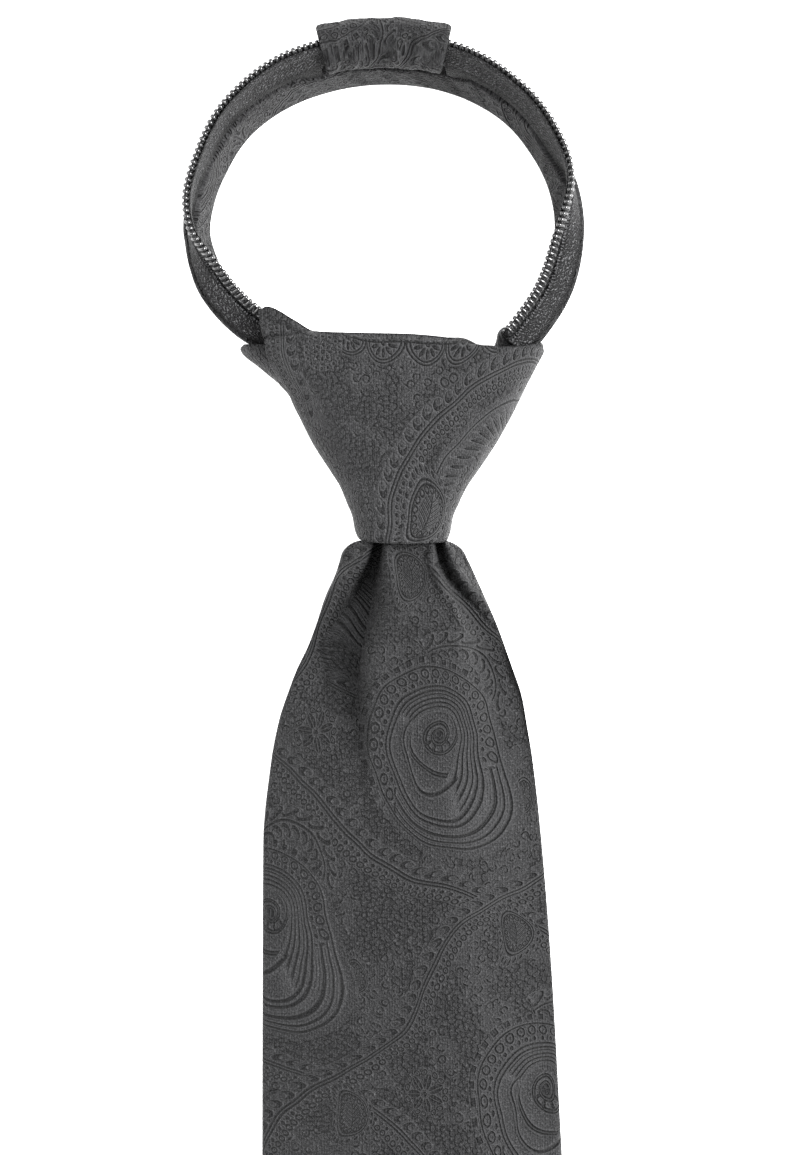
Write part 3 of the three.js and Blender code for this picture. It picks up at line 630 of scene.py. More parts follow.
def blade_place(s, t):
    below = blade_steps(1 - t)
    across, side = round_strip(s, edge_share(2 * KNOT_HALF, 2.4))
    u = 2 * across - 1
    drop = below + 1.5 * (1 - smooth(below / 8)) * smooth((below + NECK) / 0.12)
    drop = np.clip(drop / BLADE_RUN, 0, 1)
    widen = np.maximum(0, drop - LEAN_TO) / (1 - LEAN_TO)
    own_half = (b_right(drop) - b_left(drop)) / 2 * BLADE_HALF
    half = blend(own_half, BLADE_HALF, widen)
    centre = np.where(drop < LEAN_TO, blade_middle(drop), lean_at(below))
    past = np.clip((below - BLADE_RUN) / (BLADE_LENGTH - BLADE_RUN), 0, 1)
    shrink = 1 - past * (1 - BLADE_POINT / BLADE_HALF)
    lifted = (TAIL_TOP + GAP) * (b_rise(drop) / 1.14)
    lifted = lifted * (1 - smooth((drop - TAIL_LENGTH / BLADE_RUN) / 0.09))
    edge_height = np.minimum(b_edge(drop) * BLADE_THICKNESS, lifted)
    flat = (TAIL_HALF + 1) / half
    wide = np.abs(u) * shrink
    back = blend(lifted, edge_height, smooth((wide - flat) / np.maximum(1 - flat, 0.05)))
    thick = b_thick(drop) * BLADE_THICKNESS
    # its shoulders are rounded where it comes out of the knot
    corner = SHOULDER_ROUND * (1 - end_round(below + 0.4, 3.0))
    corner = corner + SHOULDER_INSET * smooth(below / 4) * (1 - smooth((below - 20) / 14))
    half = half - corner * smooth((below + NECK) / 0.05)
    x = u * half
    # pressed, and a little thinner along both edges
    full = PRESSED + (1 - PRESSED) * smooth((1 - np.abs(u)) * half * shrink / 7)
    relief = crease_relief(x + centre, -below) - pleat_dip(x + centre, below)
    relief = relief + 0.35 * np.sin(x * 0.16 + 0.8) * smooth(below / 30) * smooth((190 - below) / 120)
    # both side lobes fall away outwards below the knot
    off_middle = np.abs(x + centre - 0.5)
    fall = np.clip((off_middle - 6.5) / 12, 0, 1) ** 1.4
    relief = relief - LOBE_FALL * fall * smooth((below + 1) / 5) * (1 - smooth((below - 20) / 45))
    rolled = end_round(below + 0.4, 2.2)
    outside = smooth((off_middle - 6.2) / 1.2) * smooth((below + 0.48) / 0.1)
    height = side * thick / 2 * full + relief * np.maximum(side, 0)
    thick = thick * blend(1, 0.25 + 0.75 * rolled, outside)
    height = height + back + thick / 2
    # the seam down the middle of the back, where the two folded sides meet
    seam = np.exp(-((x / 0.7) ** 2)) * smooth(below / 10) * smooth((BLADE_LENGTH - below - 24) / 6)
    height = height + SEAM_HEIGHT * seam * np.maximum(-side, 0)
    height = blend(back + thick / 2, height, end_round(BLADE_LENGTH - below, 1.2))
    point = (centre + x * shrink, KNOT_FOOT - below, height)
    flat = unrolled(s, side, x * shrink, half * shrink, thick * full)
    return point, (centre + flat, KNOT_FOOT - below)


# x and y of a crease's two ends below the knot's foot, its width and its depth, in mm
CREASES = [
    (-6.5, -14.0, -17.0, -27.5, 2.2, 0.9),
    (-6.5, -16.0, -10.5, -37.5, 1.6, 0.7),
    (14.5, -13.0, 20.0, -27.5, 1.8, 0.5),
    (9.0, -5.8, 10.2, -17.0, 0.9, 0.8),
    (10.0, -15.5, 14.5, -22.0, 0.9, 0.8),
    (13.5, -20.5, 20.0, -27.5, 1.0, 0.7),
]
blade_rows = np.concatenate([
    [-BLADE_TUCK, -4, -1.5, -0.6, -0.44, -0.41, -0.38, -0.34, -0.28, -0.2, -0.1, 0, 0.12, 0.28, 0.5],
    np.arange(0.8, 60, 0.55),
    np.arange(60, 125, 0.9),
    np.arange(125, BLADE_RUN, 2.5),
    np.arange(BLADE_RUN, BLADE_LENGTH - 1, 0.8),
    [BLADE_LENGTH - 0.9, BLADE_LENGTH - 0.4, BLADE_LENGTH],
])


def blade_steps(share):
    return np.interp(share, np.linspace(0, 1, len(blade_rows)), blade_rows)


blade = sheet_of("blade_cloth", 230, len(blade_rows) - 1, blade_place)
blade_finish = figured_cloth("blade_jacquard", allover_design)
dressed(blade, blade_finish, "blade")


# ------------------------------------------------------------------ knot
# The knot: three turns of the same cloth over a stiff core. The under layer is a flattened tube with
# a corner that stands out at the left, and the front layer is wrapped over it and folded at its left edge.
KNOT_TABLE = [
    # up, folded, left, right, depth
    (0, 186, -0.217, 0.313, 0.75),
    (0.05, 186, -0.24, 0.335, 0.77),
    (0.12, 186, -0.257, 0.353, 0.78),
    (0.19, 186, -0.294, 0.393, 0.8),
    (0.27, 186, -0.339, 0.447, 0.82),
    (0.34, 185, -0.399, 0.513, 0.84),
    (0.48, 184, -0.521, 0.64, 0.9),
    (0.63, 181, -0.625, 0.753, 0.96),
    (0.7, 173, -0.68, 0.8, 0.98),
    (0.77, 161, -0.805, 0.847, 1),
    (0.845, 146, -0.93, 0.9, 1),
    (0.92, 136, -1.05, 0.953, 1),
    (1, 132, -1.09, 0.985, 0.98),
]
UNDER_RIM = [(0, -0.36), (40, -0.2), (90, -0.12), (135, -0.05), (165, -0.045), (190, -0.1), (230, -0.24),
             (300, -0.26), (360, -0.36)]
FRONT_RIM = [
    # across, rise, spread
    (0, 0.11, -0.045),
    (0.025, 0.134, -0.035),
    (0.11, 0.064, 0),
    (0.17, 0.012, 0),
    (0.29, 0.002, 0),
    (0.39, -0.02, 0),
    (0.5, -0.056, 0),
    (0.63, -0.058, 0),
    (0.79, -0.036, 0),
    (0.87, -0.066, 0),
    (1, -0.045, 0),
]
FRONT_WRAP = -14.0
KNOT_PRESS = 0.6
SQUARENESS = 3.0
KNOT_MIDDLE = 1.4
KNOT_FOOT_HALF = 9.3
k_folded, k_left, k_right, k_depth = columns(KNOT_TABLE)
under_rim, = columns(UNDER_RIM)
front_rise, front_spread = columns(FRONT_RIM)


def knot_design(x, y):
    """The part of the same cloth that shows on the knot, where its repeat lies turned"""
    off_x, off_y = x - 32.5, y + 20.5
    r = off_x.across(off_y)
    along = off_y.math("ARCTAN2", off_x * -1.0) * 35.0
    found = stem(35.0 - r, along)
    # a scalloped row of fans under the rim
    u = x.math("WRAP", 0.9, -6.9) + 3.0
    v = (x - 4.0) * (x - 4.0) * 0.007 - y + 18.2
    fan = u.across(v)
    spread = u.math("ARCTAN2", v)
    arcs = abs(abs(fan - 3.5) - 0.3) - 0.12
    petals = (spread.near(0.62) * fan).across((fan - 1.9) * 0.45) - 0.36
    end = (abs(x - 4.0) - 16.0).most(-0.6 - v)
    fans = arcs.least(petals, abs(v + 0.2) - 0.12, fan - 0.5).most(end)
    found = over((fans, (fan - 4.1).most(end)), found)
    found = over(flower((x + 15.6) * 1.25, (y - 16.2) * 1.25), found)
    # a short stem down the left side
    left = (y - 14.0).math("MULTIPLY_ADD", 0.1, x + 23.4) * -1.0
    twig, twig_edge = stem(left, y + 1.0)
    past_end = abs(y - 12.5) - 9.5
    found = over(found, (twig.most(past_end), twig_edge.most(past_end)))
    # two small rings, and a leaf inside the bend of the stem
    rings = abs((x - 9.2).across(y - 11.6) - 0.9) - 0.16
    rings = rings.least(abs((x - 11.4).across(y - 12.4) - 0.9) - 0.16)
    found = over(found, (rings, rings - 0.3))
    leaf_x, leaf_y = x - 6.2, y + 14.6
    found = over(leaf_drop(leaf_x - leaf_y * 0.3, leaf_y + leaf_x * 0.3), found)
    thin = abs(r - 28.4) - 0.12
    feather = (along + r * 1.1).near(3.0).across((r - 24.6) * 0.3) - 0.5
    return over(found, (thin.least(feather), abs(r - 26.0) - 3.6))


def signed_power(value, power):
    return np.sign(value) * np.abs(value) ** power


def knot_point(around, up, grow):
    """On the under layer's face, moved outwards by grow: 0 is its right side, 90 its front, 270 its back"""
    left = k_left(up) * KNOT_HALF
    right = k_right(up) * KNOT_HALF - FRONT_BUILD
    depth = k_depth(up) * KNOT_DEPTH
    cosine = signed_power(np.cos(np.radians(around)), 2 / SQUARENESS)
    sine = signed_power(np.sin(np.radians(around)), 2 / SQUARENESS)
    x = (left + right) / 2 + ((right - left) / 2 + grow) * cosine
    z = depth / 2 + (depth / 2 + grow + np.where(sine < 0, KNOT_PRESS, 0)) * sine
    return x, KNOT_FOOT + up * KNOT_HEIGHT, np.maximum(-grow, z)


def side_cloth(x, z, up, grow):
    """The cloth between the knot's front face and a place on its side, in mm, counted outwards"""
    return (k_depth(up) * KNOT_DEPTH + grow - z) * np.clip((x - KNOT_MIDDLE) / 8, -1, 1)


def knot_wrinkles(x, y):
    """Slight pulls in the knot's cloth, which fan out from its foot, in mm"""
    fan = np.arctan2(x - 1.0, y + 38.0)
    pulls = 0.16 * np.sin(fan * 34 + 0.6) + 0.1 * np.sin(fan * 61 + 2.1)
    low = smooth((6 - y) / 22)
    top = 0.14 * np.sin(x * 0.33 + y * 0.21) + 0.1 * np.sin(x * 0.17 - y * 0.4 + 1.0)
    return pulls * (0.35 + 0.65 * low) + top * 0.6


def front_place(s, t):
    across, side = round_strip(s, edge_share(2 * KNOT_HALF, FRONT_LAYER))
    across = 1 - across
    row = np.interp(t, [0, 0.02, 0.97, 1], [0, 0.012, 0.985, 1])
    up = row * (1 + front_rise(across))
    held = np.minimum(up, 1)
    end = end_round(row * KNOT_HEIGHT, 0.6) * end_round((1 - row) * KNOT_HEIGHT, 0.6)
    # the left edge thins out over the layer under it above the notch
    thin = smooth((held - 0.66) / 0.12) * (1 - smooth(across / 0.1)) * (1 - smooth((up - 0.97) / 0.04))
    middle = GAP + FRONT_EASE + FRONT_LAYER / 2
    grow = middle + side * end * FRONT_LAYER / 2 - thin * (0.35 + side * end * 0.35)
    angle = blend(k_folded(held), FRONT_WRAP, across)
    x, y, z = knot_point(angle, held, grow)
    round_side = side_cloth(x, z, held, grow)
    past = (up - held) * KNOT_HEIGHT
    z = z + 0.12 * past + np.maximum(side, 0) * knot_wrinkles(x, y)
    x = x + front_spread(across) * KNOT_HALF * np.clip((row - 0.82) / 0.18, 0, 1)
    y = y + past
    # the foot's corners are drawn up a little, and cloth rolls over at its top rim
    reach = np.clip(np.abs((x - KNOT_MIDDLE) / KNOT_FOOT_HALF), 0, 1.05)
    y = y + (0.42 * reach ** 6 - 0.4 * (1 - reach ** 2)) * np.exp(-row * KNOT_HEIGHT / 2.5)
    lip = 1 - smooth((1 - row) * KNOT_HEIGHT / 1.0)
    ridge = 0.28 * np.exp(-(((1 - row) * KNOT_HEIGHT - 1.1) / 0.5) ** 2)
    z = z + (ridge - 0.5 * lip) * np.maximum(side, 0)
    # the flap at the left stands behind the fold of the rim
    flap = smooth((0.2 - across) / 0.05)
    fold = KNOT_FOOT + KNOT_HEIGHT - 0.75 + 0.15 * (x + 24.6)
    z = z - flap * (1.6 * smooth((y - fold) / 0.4) + 0.5 * np.exp(-(((y - fold - 0.4) / 0.35) ** 2)))
    return (x, y, z), (x + round_side, y)


knot_front = sheet_of("knot_front_cloth", 300, 150, front_place)
# the knot's copy of the same cloth is painted lighter than the blade's, as painted light
knot_finish = figured_cloth("knot_jacquard", knot_design, 1.24)
dressed(knot_front, knot_finish, "knot_front")


def under_place(s, t):
    around = 360 * (1 - s)
    outer = np.where(t <= 0.5, 1.0, -1.0)
    share = np.where(t <= 0.5, t * 2, 2 - t * 2)
    ends = end_round(share * KNOT_HEIGHT, 0.75) * end_round((1 - share) * KNOT_HEIGHT, 0.75)
    grow = -KNOT_WALL / 2 + outer * ends * KNOT_WALL / 2
    up = share * (1 + under_rim(around))
    x, y, z = knot_point(around, up, grow)
    round_side = side_cloth(x, z, up, grow)
    front = smooth((z - 8) / 8) * np.maximum(outer, 0)
    z = z + front * 0.5 * knot_wrinkles(x, y)
    return (x, y, z), (x + round_side, y)


knot_under = sheet_of("knot_under_cloth", 180, 150, under_place)
dressed(knot_under, knot_finish, "knot_under")

# The core: the cloth wound inside the knot. Its rounded top is the lip that shows over the front layer.
CORE_TABLE = [
    # up, left, right, low, high
    (0.3, 0, 1, 0.42, 1),
    (0.46, 0, 1, 0.34, 1),
    (0.56, 0, 1, 0.04, 1),
    (0.62, 0.03, 0.98, 0, 1),
    (0.68, 0.12, 0.9, 0, 1),
    (0.76, 0.23, 0.83, 0, 1),
    (0.9, 0.23, 0.84, 0.05, 0.98),
    (0.97, 0.24, 0.85, 0.1, 0.92),
    (1, 0.27, 0.84, 0.18, 0.82),
]
c_left, c_right, c_low, c_high = columns(CORE_TABLE)


def core_place(s, t):
    around = 360 * (1 - s)
    rows = np.interp(t, [0, 0.02, 0.5, 0.62, 1], [0.3, 0.302, 0.9, 1, 1])
    closing = np.interp(t, [0, 0.02, 0.62, 1], [0, 1, 1, 0])
    room = -KNOT_WALL - GAP
    x, y, z = knot_point(around, rows, room)
    left, right = knot_point(180, rows, room)[0], knot_point(0, rows, room)[0]
    back, front = knot_point(270, rows, room)[2], knot_point(90, rows, room)[2]
    # squeezed into its place, so that it stays round
    x_share, z_share = (x - left) / (right - left), (z - back) / (front - back)
    x = blend(blend(left, right, c_left(rows)), blend(left, right, c_right(rows)), x_share)
    z = blend(blend(back, front, c_low(rows)), blend(back, front, c_high(rows)), z_share)
    mid_x, mid_z = (left + right) / 2 + 0.4, (back + front) / 2
    x, z = blend(mid_x, x, closing), blend(mid_z, z, closing)
    high = smooth((rows - 0.75) / 0.2)
    y = y - high * closing * (0.5 * smooth((x - 1) / 8) + 1.7 * smooth((x - 10.5) / 6) ** 2)
    # the turns show as a flat spiral at its upper end
    turns = np.abs(np.cos(np.pi * (4 * closing + around / 360)))
    y = y - np.where(t > 0.62, 1, 0) * smooth((1 - closing) / 0.1) * (0.25 + 1.0 * (1 - turns))
    return (x, y, z), (x + 0.6 * (z - front) + 120, y + front - z)


knot_core = sheet_of("knot_core_cloth", 160, 120, core_place)
dressed(knot_core, blade_finish, "knot_core")

# The tuck: a small fold of cloth that shows behind the right-hand row of coil where it enters the knot.
TUCK_WIDTH = 2.0
TUCK_LENGTH = 9.0
TUCK_DEPTH = 7.5
TUCK_BEND = 3.3
TUCK_TOP = KNOT_HEIGHT * 0.55
tuck_room = -KNOT_WALL - GAP
tuck_left, tuck_right = [float(knot_point(a, 0.95, tuck_room)[0]) for a in (180, 0)]
TUCK_START = blend(tuck_left, tuck_right, float(c_right(0.95))) + GAP + TUCK_WIDTH / 2
TUCK_LOW = float(knot_point(270, 0.95, tuck_room)[2])


def tuck_place(s, t):
    around = 2 * np.pi * s
    drop = 1 - t
    swell = np.sqrt(np.clip(1 - (1 - np.clip(drop / 0.24, 0, 1)) ** 2, 0, 1))
    swell = swell * np.clip((1 - drop) / 0.05, 0, 1)
    width = (TUCK_WIDTH + 2.6 * smooth(1.5 - 1.8 * drop)) * swell
    bend = TUCK_BEND * smooth(1.3 - 1.4 * drop)
    x = TUCK_START + bend + width / 2 * signed_power(np.cos(around), 0.8)
    z = TUCK_LOW + TUCK_DEPTH / 2 * (1 - swell * signed_power(np.sin(around), 0.8) * 0.98)
    return (x, TUCK_TOP - drop * TUCK_LENGTH, z), (x + 150, z + 30 - drop * TUCK_LENGTH)


tuck = sheet_of("knot_tuck_cloth", 48, 40, tuck_place)
dressed(tuck, blade_finish, "knot_tuck")


# ------------------------------------------------------------------ neck band
# The band: a strip of the tie's cloth folded double over a stiffener, which stands on its edge round the
# neck and leans outwards a little. Its rolled upper edge holds the zip tape.
LOOP_TABLE = [
    # -turn, reach, band lean, tape lean, lift
    (-234, 1.02, 24, -68, 1.3),
    (-224, 1.024, 26, -71, 1.25),
    (-209, 1.018, 26, -61, 0.5),
    (-198, 1.006, 24, -37, 0),
    (-188, 1.008, 20, -8, 0),
    (-174, 0.985, 20, 13, 0),
    (-158, 0.968, 21, 20, 0),
    (-138, 0.983, 24, 28, 0),
    (-116, 0.986, 25, 41, 0),
    (-92, 0.993, 23, 43, 0),
    (-68, 1.008, 22, 42, 0),
    (-48, 1.005, 19, 33, 0),
    (-27, 0.985, 17, 25, 0),
    (-12, 0.99, 22, 0, 0),
    (0, 1, 23, -30, 0),
    (13, 1.018, 24, -57, 0),
    (29, 1.06, 25, -70, 0.5),
    (43, 1.105, 25, -70, 1.25),
    (52, 1.155, 24, -68, 1.3),
]
LOOP_HALF_WIDTH = 35.1
LOOP_HALF_HEIGHT = 27.6
LOOP_X = -3.5
LOOP_Y = KNOT_HEIGHT / 2 + 0.865 * LOOP_HALF_HEIGHT
BAND_HEIGHT = 12.0
BAND_THICKNESS = 1.6
TAPE_WIDTH = 4.6
TAPE_THICKNESS = 0.7
COIL_WIDTH = 2.2
COIL_THICKNESS = 1.5
ROOT_LEAN = -15.0
ROOT_REACH = BAND_THICKNESS / 2 + GAP + TAPE_THICKNESS / 2
SLEEVE_LENGTH = 25.0
SLEEVE_SHIFT = -3.2
SLEEVE_WALL = 1.0
SLEEVE_ROOM = 0.6
SLEEVE_SLACK = 2.1
SLEEVE_HEM = SLEEVE_ROOM + SLEEVE_WALL + TAPE_THICKNESS / 2
COIL_START = TAPE_WIDTH + GAP
TURN_START, TURN_END = 234.0, -52.0
l_reach, l_band, l_tape, l_lift = columns(LOOP_TABLE)


def loop_foot(turn):
    reach = l_reach(-turn)
    x = LOOP_X + reach * LOOP_HALF_WIDTH * np.cos(np.radians(turn))
    y = LOOP_Y + reach * LOOP_HALF_HEIGHT * np.sin(np.radians(turn))
    return np.stack([x, y, l_lift(-turn) * (KNOT_WALL + GAP / 2)], -1)


def loop_frame(turn):
    """The band's foot, the tape's lower edge, and the directions up and through band and tape"""
    turn = np.asarray(turn, float)
    along = loop_foot(turn - 0.5) - loop_foot(turn + 0.5)
    along[..., 2] = 0
    along /= np.linalg.norm(along, axis=-1, keepdims=True)
    out = np.stack([-along[..., 1], along[..., 0], np.zeros(turn.shape)], -1)
    upright = np.array([0.0, 0.0, 1.0])

    def leaned(angle):
        angle = np.radians(angle)[..., None]
        return out * np.sin(angle) + upright * np.cos(angle)

    band, tape = l_band(-turn), l_tape(-turn)
    foot = loop_foot(turn)
    end = foot + leaned(band) * (BAND_HEIGHT - BAND_THICKNESS) + upright * BAND_THICKNESS / 2
    root = end + leaned(np.full(turn.shape, ROOT_LEAN)) * ROOT_REACH - leaned(tape) * TAPE_THICKNESS / 2
    return foot, root, leaned(band), leaned(tape), leaned(band + 90), leaned(tape + 90)


# Turn against arc length, measured where tape and coil meet
loop_turns = np.linspace(TURN_START, TURN_END, 1200)
_, loop_root, _, loop_up, _, _ = loop_frame(loop_turns)
loop_line = loop_root + loop_up * COIL_START
loop_arc = np.concatenate([[0], np.cumsum(np.linalg.norm(np.diff(loop_line, axis=0), axis=1))])
LOOP_LENGTH = float(loop_arc[-1])
upper = (loop_turns > 30) & (loop_turns < 150)


def turn_at_arc(arc):
    return np.interp(arc, loop_arc, loop_turns)


def arc_at_x(x):
    return float(np.interp(x, loop_line[upper, 0], loop_arc[upper]))


# The part of the band inside the knot: its length, its way and its bend
BAND_HIDDEN = 8.0
BAND_RUN_IN = (0.87, -0.49, 0.0)
BAND_RUN_CURVE = (-0.02, -0.04, 0.0)


def band_place(s, t):
    arc = t * (LOOP_LENGTH + BAND_HIDDEN) - BAND_HIDDEN
    turn = turn_at_arc(arc)
    across, side = round_strip(s, edge_share(BAND_HEIGHT, BAND_THICKNESS))
    foot, root, up, _, through, _ = loop_frame(turn)
    # its left end turns down into the knot and stands upright there
    hidden = np.maximum(0, -arc)
    upright = smooth(hidden / 5)[:, None]
    up = blend(up, np.array([0, 0, 1]), upright)
    through = blend(through, through * np.array([1, 1, 0]), upright)
    up, through = [v / np.linalg.norm(v, axis=1, keepdims=True) for v in (up, through)]
    foot = foot + np.outer(hidden, BAND_RUN_IN) + np.outer(hidden ** 2, BAND_RUN_CURVE)
    past = np.abs(root[:, 0] - SLEEVE_SHIFT) - SLEEVE_LENGTH / 2 - 2 * SLEEVE_WALL
    near = np.where((turn > 0) & (turn < 180), 1 - np.clip(past / (3 * SLEEVE_WALL), 0, 1), 0)
    height = BAND_HEIGHT - near * SLEEVE_HEM
    end = end_round(arc + BAND_HIDDEN, 0.8) * end_round(LOOP_LENGTH - arc, 0.8)
    # a stitched line below the rolled rim, and slight waves in the cloth
    under_rim = (1 - across) * BAND_HEIGHT
    roll = 0.85 * np.exp(-((under_rim - 2.5) / 0.6) ** 2) - 0.35 * np.exp(-((under_rim - 1.3) / 0.5) ** 2)
    roll = roll - 0.25 * np.exp(-((under_rim - 3.6) / 0.4) ** 2)
    wave = 0.16 * np.sin(arc * 0.31 + across * 2) + 0.12 * np.sin(arc * 0.83 - under_rim * 0.5)
    wave = wave + 0.1 * np.sin(arc * 1.7 - under_rim * 0.9 + 1) * smooth((under_rim - 3) / 3)
    wave = wave * smooth(across * 4) * smooth((1 - across) * 4)
    half = BAND_THICKNESS / 2 + np.where(side < 0, roll, 0)
    v = side * end * half + wave
    start = foot - up * BAND_THICKNESS / 2
    start[:, 2] += BAND_THICKNESS / 2
    point = start + up * (across * height)[:, None] + through * v[:, None]
    return point.T, (arc + 300, unrolled(s, side, across * BAND_HEIGHT, BAND_HEIGHT, BAND_THICKNESS))


neck_band = sheet_of("neck_band_cloth", 64, 560, band_place)
dressed(neck_band, blade_finish, "neck_band")


# ------------------------------------------------------------------ zip tape
# The two halves of the zip tape: closely woven polyester ribbon, sewn into the rim of the band, that
# carries the coil on its free edge.
ROW_GAP = 1.0
ROOT_DEPTH = 1.6
EDGE_REACH = 1.6
EDGE_THICKNESS = 0.3
LEFT_ROW = (0.0, arc_at_x(SLEEVE_SHIFT - ROW_GAP / 2))
RIGHT_ROW = (arc_at_x(SLEEVE_SHIFT + ROW_GAP / 2), LOOP_LENGTH)


THREAD_LIGHT = (0.125, 0.125, 0.129)
THREAD_DARK = (0.003, 0.003, 0.0032)
STITCH_ROW = 0.76
CHAIN_STITCH = 4.15
COIL_PITCH = 1.2


def knitted_tape():
    """Warp-knitted polyester: short slanting stitches in rows, with a chain stitch beside the coil"""
    finish, flat = new_finish("knitted_tape")
    x, y = flat.split()
    side = flat.noise(1.3, 2.0) - 0.5
    fine = flat.noise(4.0, 2.0)
    wavy = y + side * 0.7
    row = wavy.math("WRAP", STITCH_ROW, 0.0)
    way = wavy.math("WRAP", 2 * STITCH_ROW, 0.0).math("GREATER_THAN", STITCH_ROW) * 2.0 - 1.0
    slant = (row - STITCH_ROW / 2) * way
    stroke = (x + slant * 0.9 + side * 2.2 + way * 0.25).near(1.0)
    stitch = stroke.across((row - STITCH_ROW / 2) * 0.45) - 0.2
    chain = (x.near(COIL_PITCH) - 0.3).across((y - CHAIN_STITCH) * 0.9) - 0.2
    lit = stitch.least(chain).soft(-0.14, 0.12, 1.0, 0.0)
    # painted shade in the seam, where the tape comes out of the band's rim
    tone = lit * (fine.soft(0.35, 0.65) * 0.85 + 0.15) * y.soft(0.2, 0.9)
    return feed(finish, {
        "Base Color": tone.tint(THREAD_DARK, THREAD_LIGHT),
        "Normal": (lit + fine * 0.3).bump(1.0, 0.0006),
    }, {"Roughness": 0.5, "Specular IOR Level": 0.15})


tape_finish = knitted_tape()


def tape_piece(name, node, first, last):
    def place(s, t):
        arc = blend(first, last, t)
        across, side = round_strip(s, edge_share(TAPE_WIDTH, TAPE_THICKNESS))
        _, root, band_up, up, _, through = loop_frame(turn_at_arc(arc))
        end = end_round(arc - first, 0.35) * end_round(last - arc, 0.35)
        # its lower edge is sewn in behind the band's roll, except in the sleeve
        aside = np.abs(root[:, 0] - SLEEVE_SHIFT) - SLEEVE_LENGTH / 2
        behind_neck = root[:, 1] > LOOP_Y
        in_sleeve = smooth((0.4 - aside) / 0.8) * behind_neck
        dip = (1 - np.clip((aside - 2 * SLEEVE_WALL) / (3 * SLEEVE_WALL), 0, 1)) * behind_neck
        below = (ROOT_DEPTH + dip * SLEEVE_HEM) * (1 - in_sleeve)
        u = across * (TAPE_WIDTH + EDGE_REACH + below) - below
        bent = smooth((u - TAPE_WIDTH + 0.9) / 1.3)
        half = blend(TAPE_THICKNESS, EDGE_THICKNESS, bent) / 2
        v = side * end * half - bent * (COIL_THICKNESS / 2 + EDGE_THICKNESS / 2 + 0.03)
        point = root + up * np.maximum(u, 0)[:, None] + band_up * np.minimum(u, 0)[:, None]
        point = point + through * v[:, None]
        return point.T, (arc, u)

    piece = sheet_of(name, 32, 300, place)
    dressed(piece, tape_finish, node)


tape_piece("zip_tape_left_weave", "zip_tape_left", *LEFT_ROW)
tape_piece("zip_tape_right_weave", "zip_tape_right", *RIGHT_ROW)


# ------------------------------------------------------------------ zip coil
# Each row of the zip: one nylon monofilament wound into a flat coil and sewn to the tape's edge. The
# outer end of each turn is pressed wide and forms the tooth.
WIRE_RADIUS = 0.3
WIRE_SIDES = 6
TURN_STEPS = 16
TOOTH_SWELL = 0.6
HEAD_STEP = 0.35
FILLER = (0.95, 0.42)


COIL_COLOUR = (0.013, 0.013, 0.0136)


def nylon_wire():
    """Black nylon monofilament, glossy, with slight drawing marks along it"""
    finish, flat = new_finish("nylon_wire")
    x, y = flat.split()
    mark = x.node("CombineXYZ", inputs={"X": x * 3.0, "Y": y * 0.5}).noise(2.0, 2.0)
    return feed(finish, {
        "Base Color": mark.tint(shaded(COIL_COLOUR, 0.6), shaded(COIL_COLOUR, 1.5)),
        "Roughness": mark * 0.16 + 0.14,
    }, {"Specular IOR Level": 0.95})


wire_finish = nylon_wire()


def coil_rings(phase, centre, up, through, width, thickness):
    """Rings of points round a wire that winds about centre. phase counts turns."""
    a = 2 * np.pi * phase
    reach = width / 2 - WIRE_RADIUS
    rise = thickness / 2 - WIRE_RADIUS

    def wire(angle):
        return up * (reach * signed_power(np.cos(angle), 0.75))[:, None] + through * (
            rise * signed_power(np.sin(angle), 0.75))[:, None]

    line = centre + wire(a)
    ahead = np.gradient(line, axis=0)
    ahead /= np.linalg.norm(ahead, axis=1, keepdims=True)
    normal = line - centre
    normal -= ahead * np.sum(normal * ahead, axis=1, keepdims=True)
    normal /= np.linalg.norm(normal, axis=1, keepdims=True)
    across = np.cross(ahead, normal)
    tooth = np.clip(np.cos(a), 0, 1) ** 1.8
    ring = 2 * np.pi * np.arange(WIRE_SIDES) / WIRE_SIDES
    thick = WIRE_RADIUS * (1 - 0.12 * tooth)
    wide = WIRE_RADIUS * (1 + TOOTH_SWELL * tooth)
    return (
        line[:, None]
        + normal[:, None] * (thick[:, None] * np.cos(ring))[..., None]
        + across[:, None] * (wide[:, None] * np.sin(ring))[..., None]
    )


def wire_piece(name, rings):
    """A closed wire through rings of points"""
    count, sides = rings.shape[:2]

    def place(s, t):
        i = np.rint(s * sides).astype(int) % sides
        j = np.rint(t * (count + 1)).astype(int) - 1
        end = np.where((j < 0) | (j >= count), 0.02, 1.0)
        j = np.clip(j, 0, count - 1)
        middle = rings.mean(axis=1)[j]
        point = middle + (rings[j, i] - middle) * end[:, None]
        return point.T, (s * 2, j * 0.1)

    return sheet_of(name, sides, count + 1, place)


def wire_advance(phase):
    """The wire goes nearly straight across at its head and steps on at the tape"""
    whole = np.floor(phase)
    return HEAD_STEP * phase + (1 - HEAD_STEP) * (whole + smooth((phase - whole - 0.27) / 0.46))


def coil_piece(name, node, first, last):
    turns = int((last - first - 2 * WIRE_RADIUS) / COIL_PITCH)
    phase = np.linspace(0, turns, turns * TURN_STEPS + 1)
    arc = first + WIRE_RADIUS + wire_advance(phase) * COIL_PITCH
    _, root, _, up, _, through = loop_frame(turn_at_arc(arc))
    centre = root + up * (COIL_START + COIL_WIDTH / 2)
    rings = coil_rings(phase, centre, up, through, COIL_WIDTH, COIL_THICKNESS)
    piece = wire_piece(name, rings)
    dressed(piece, wire_finish, node)


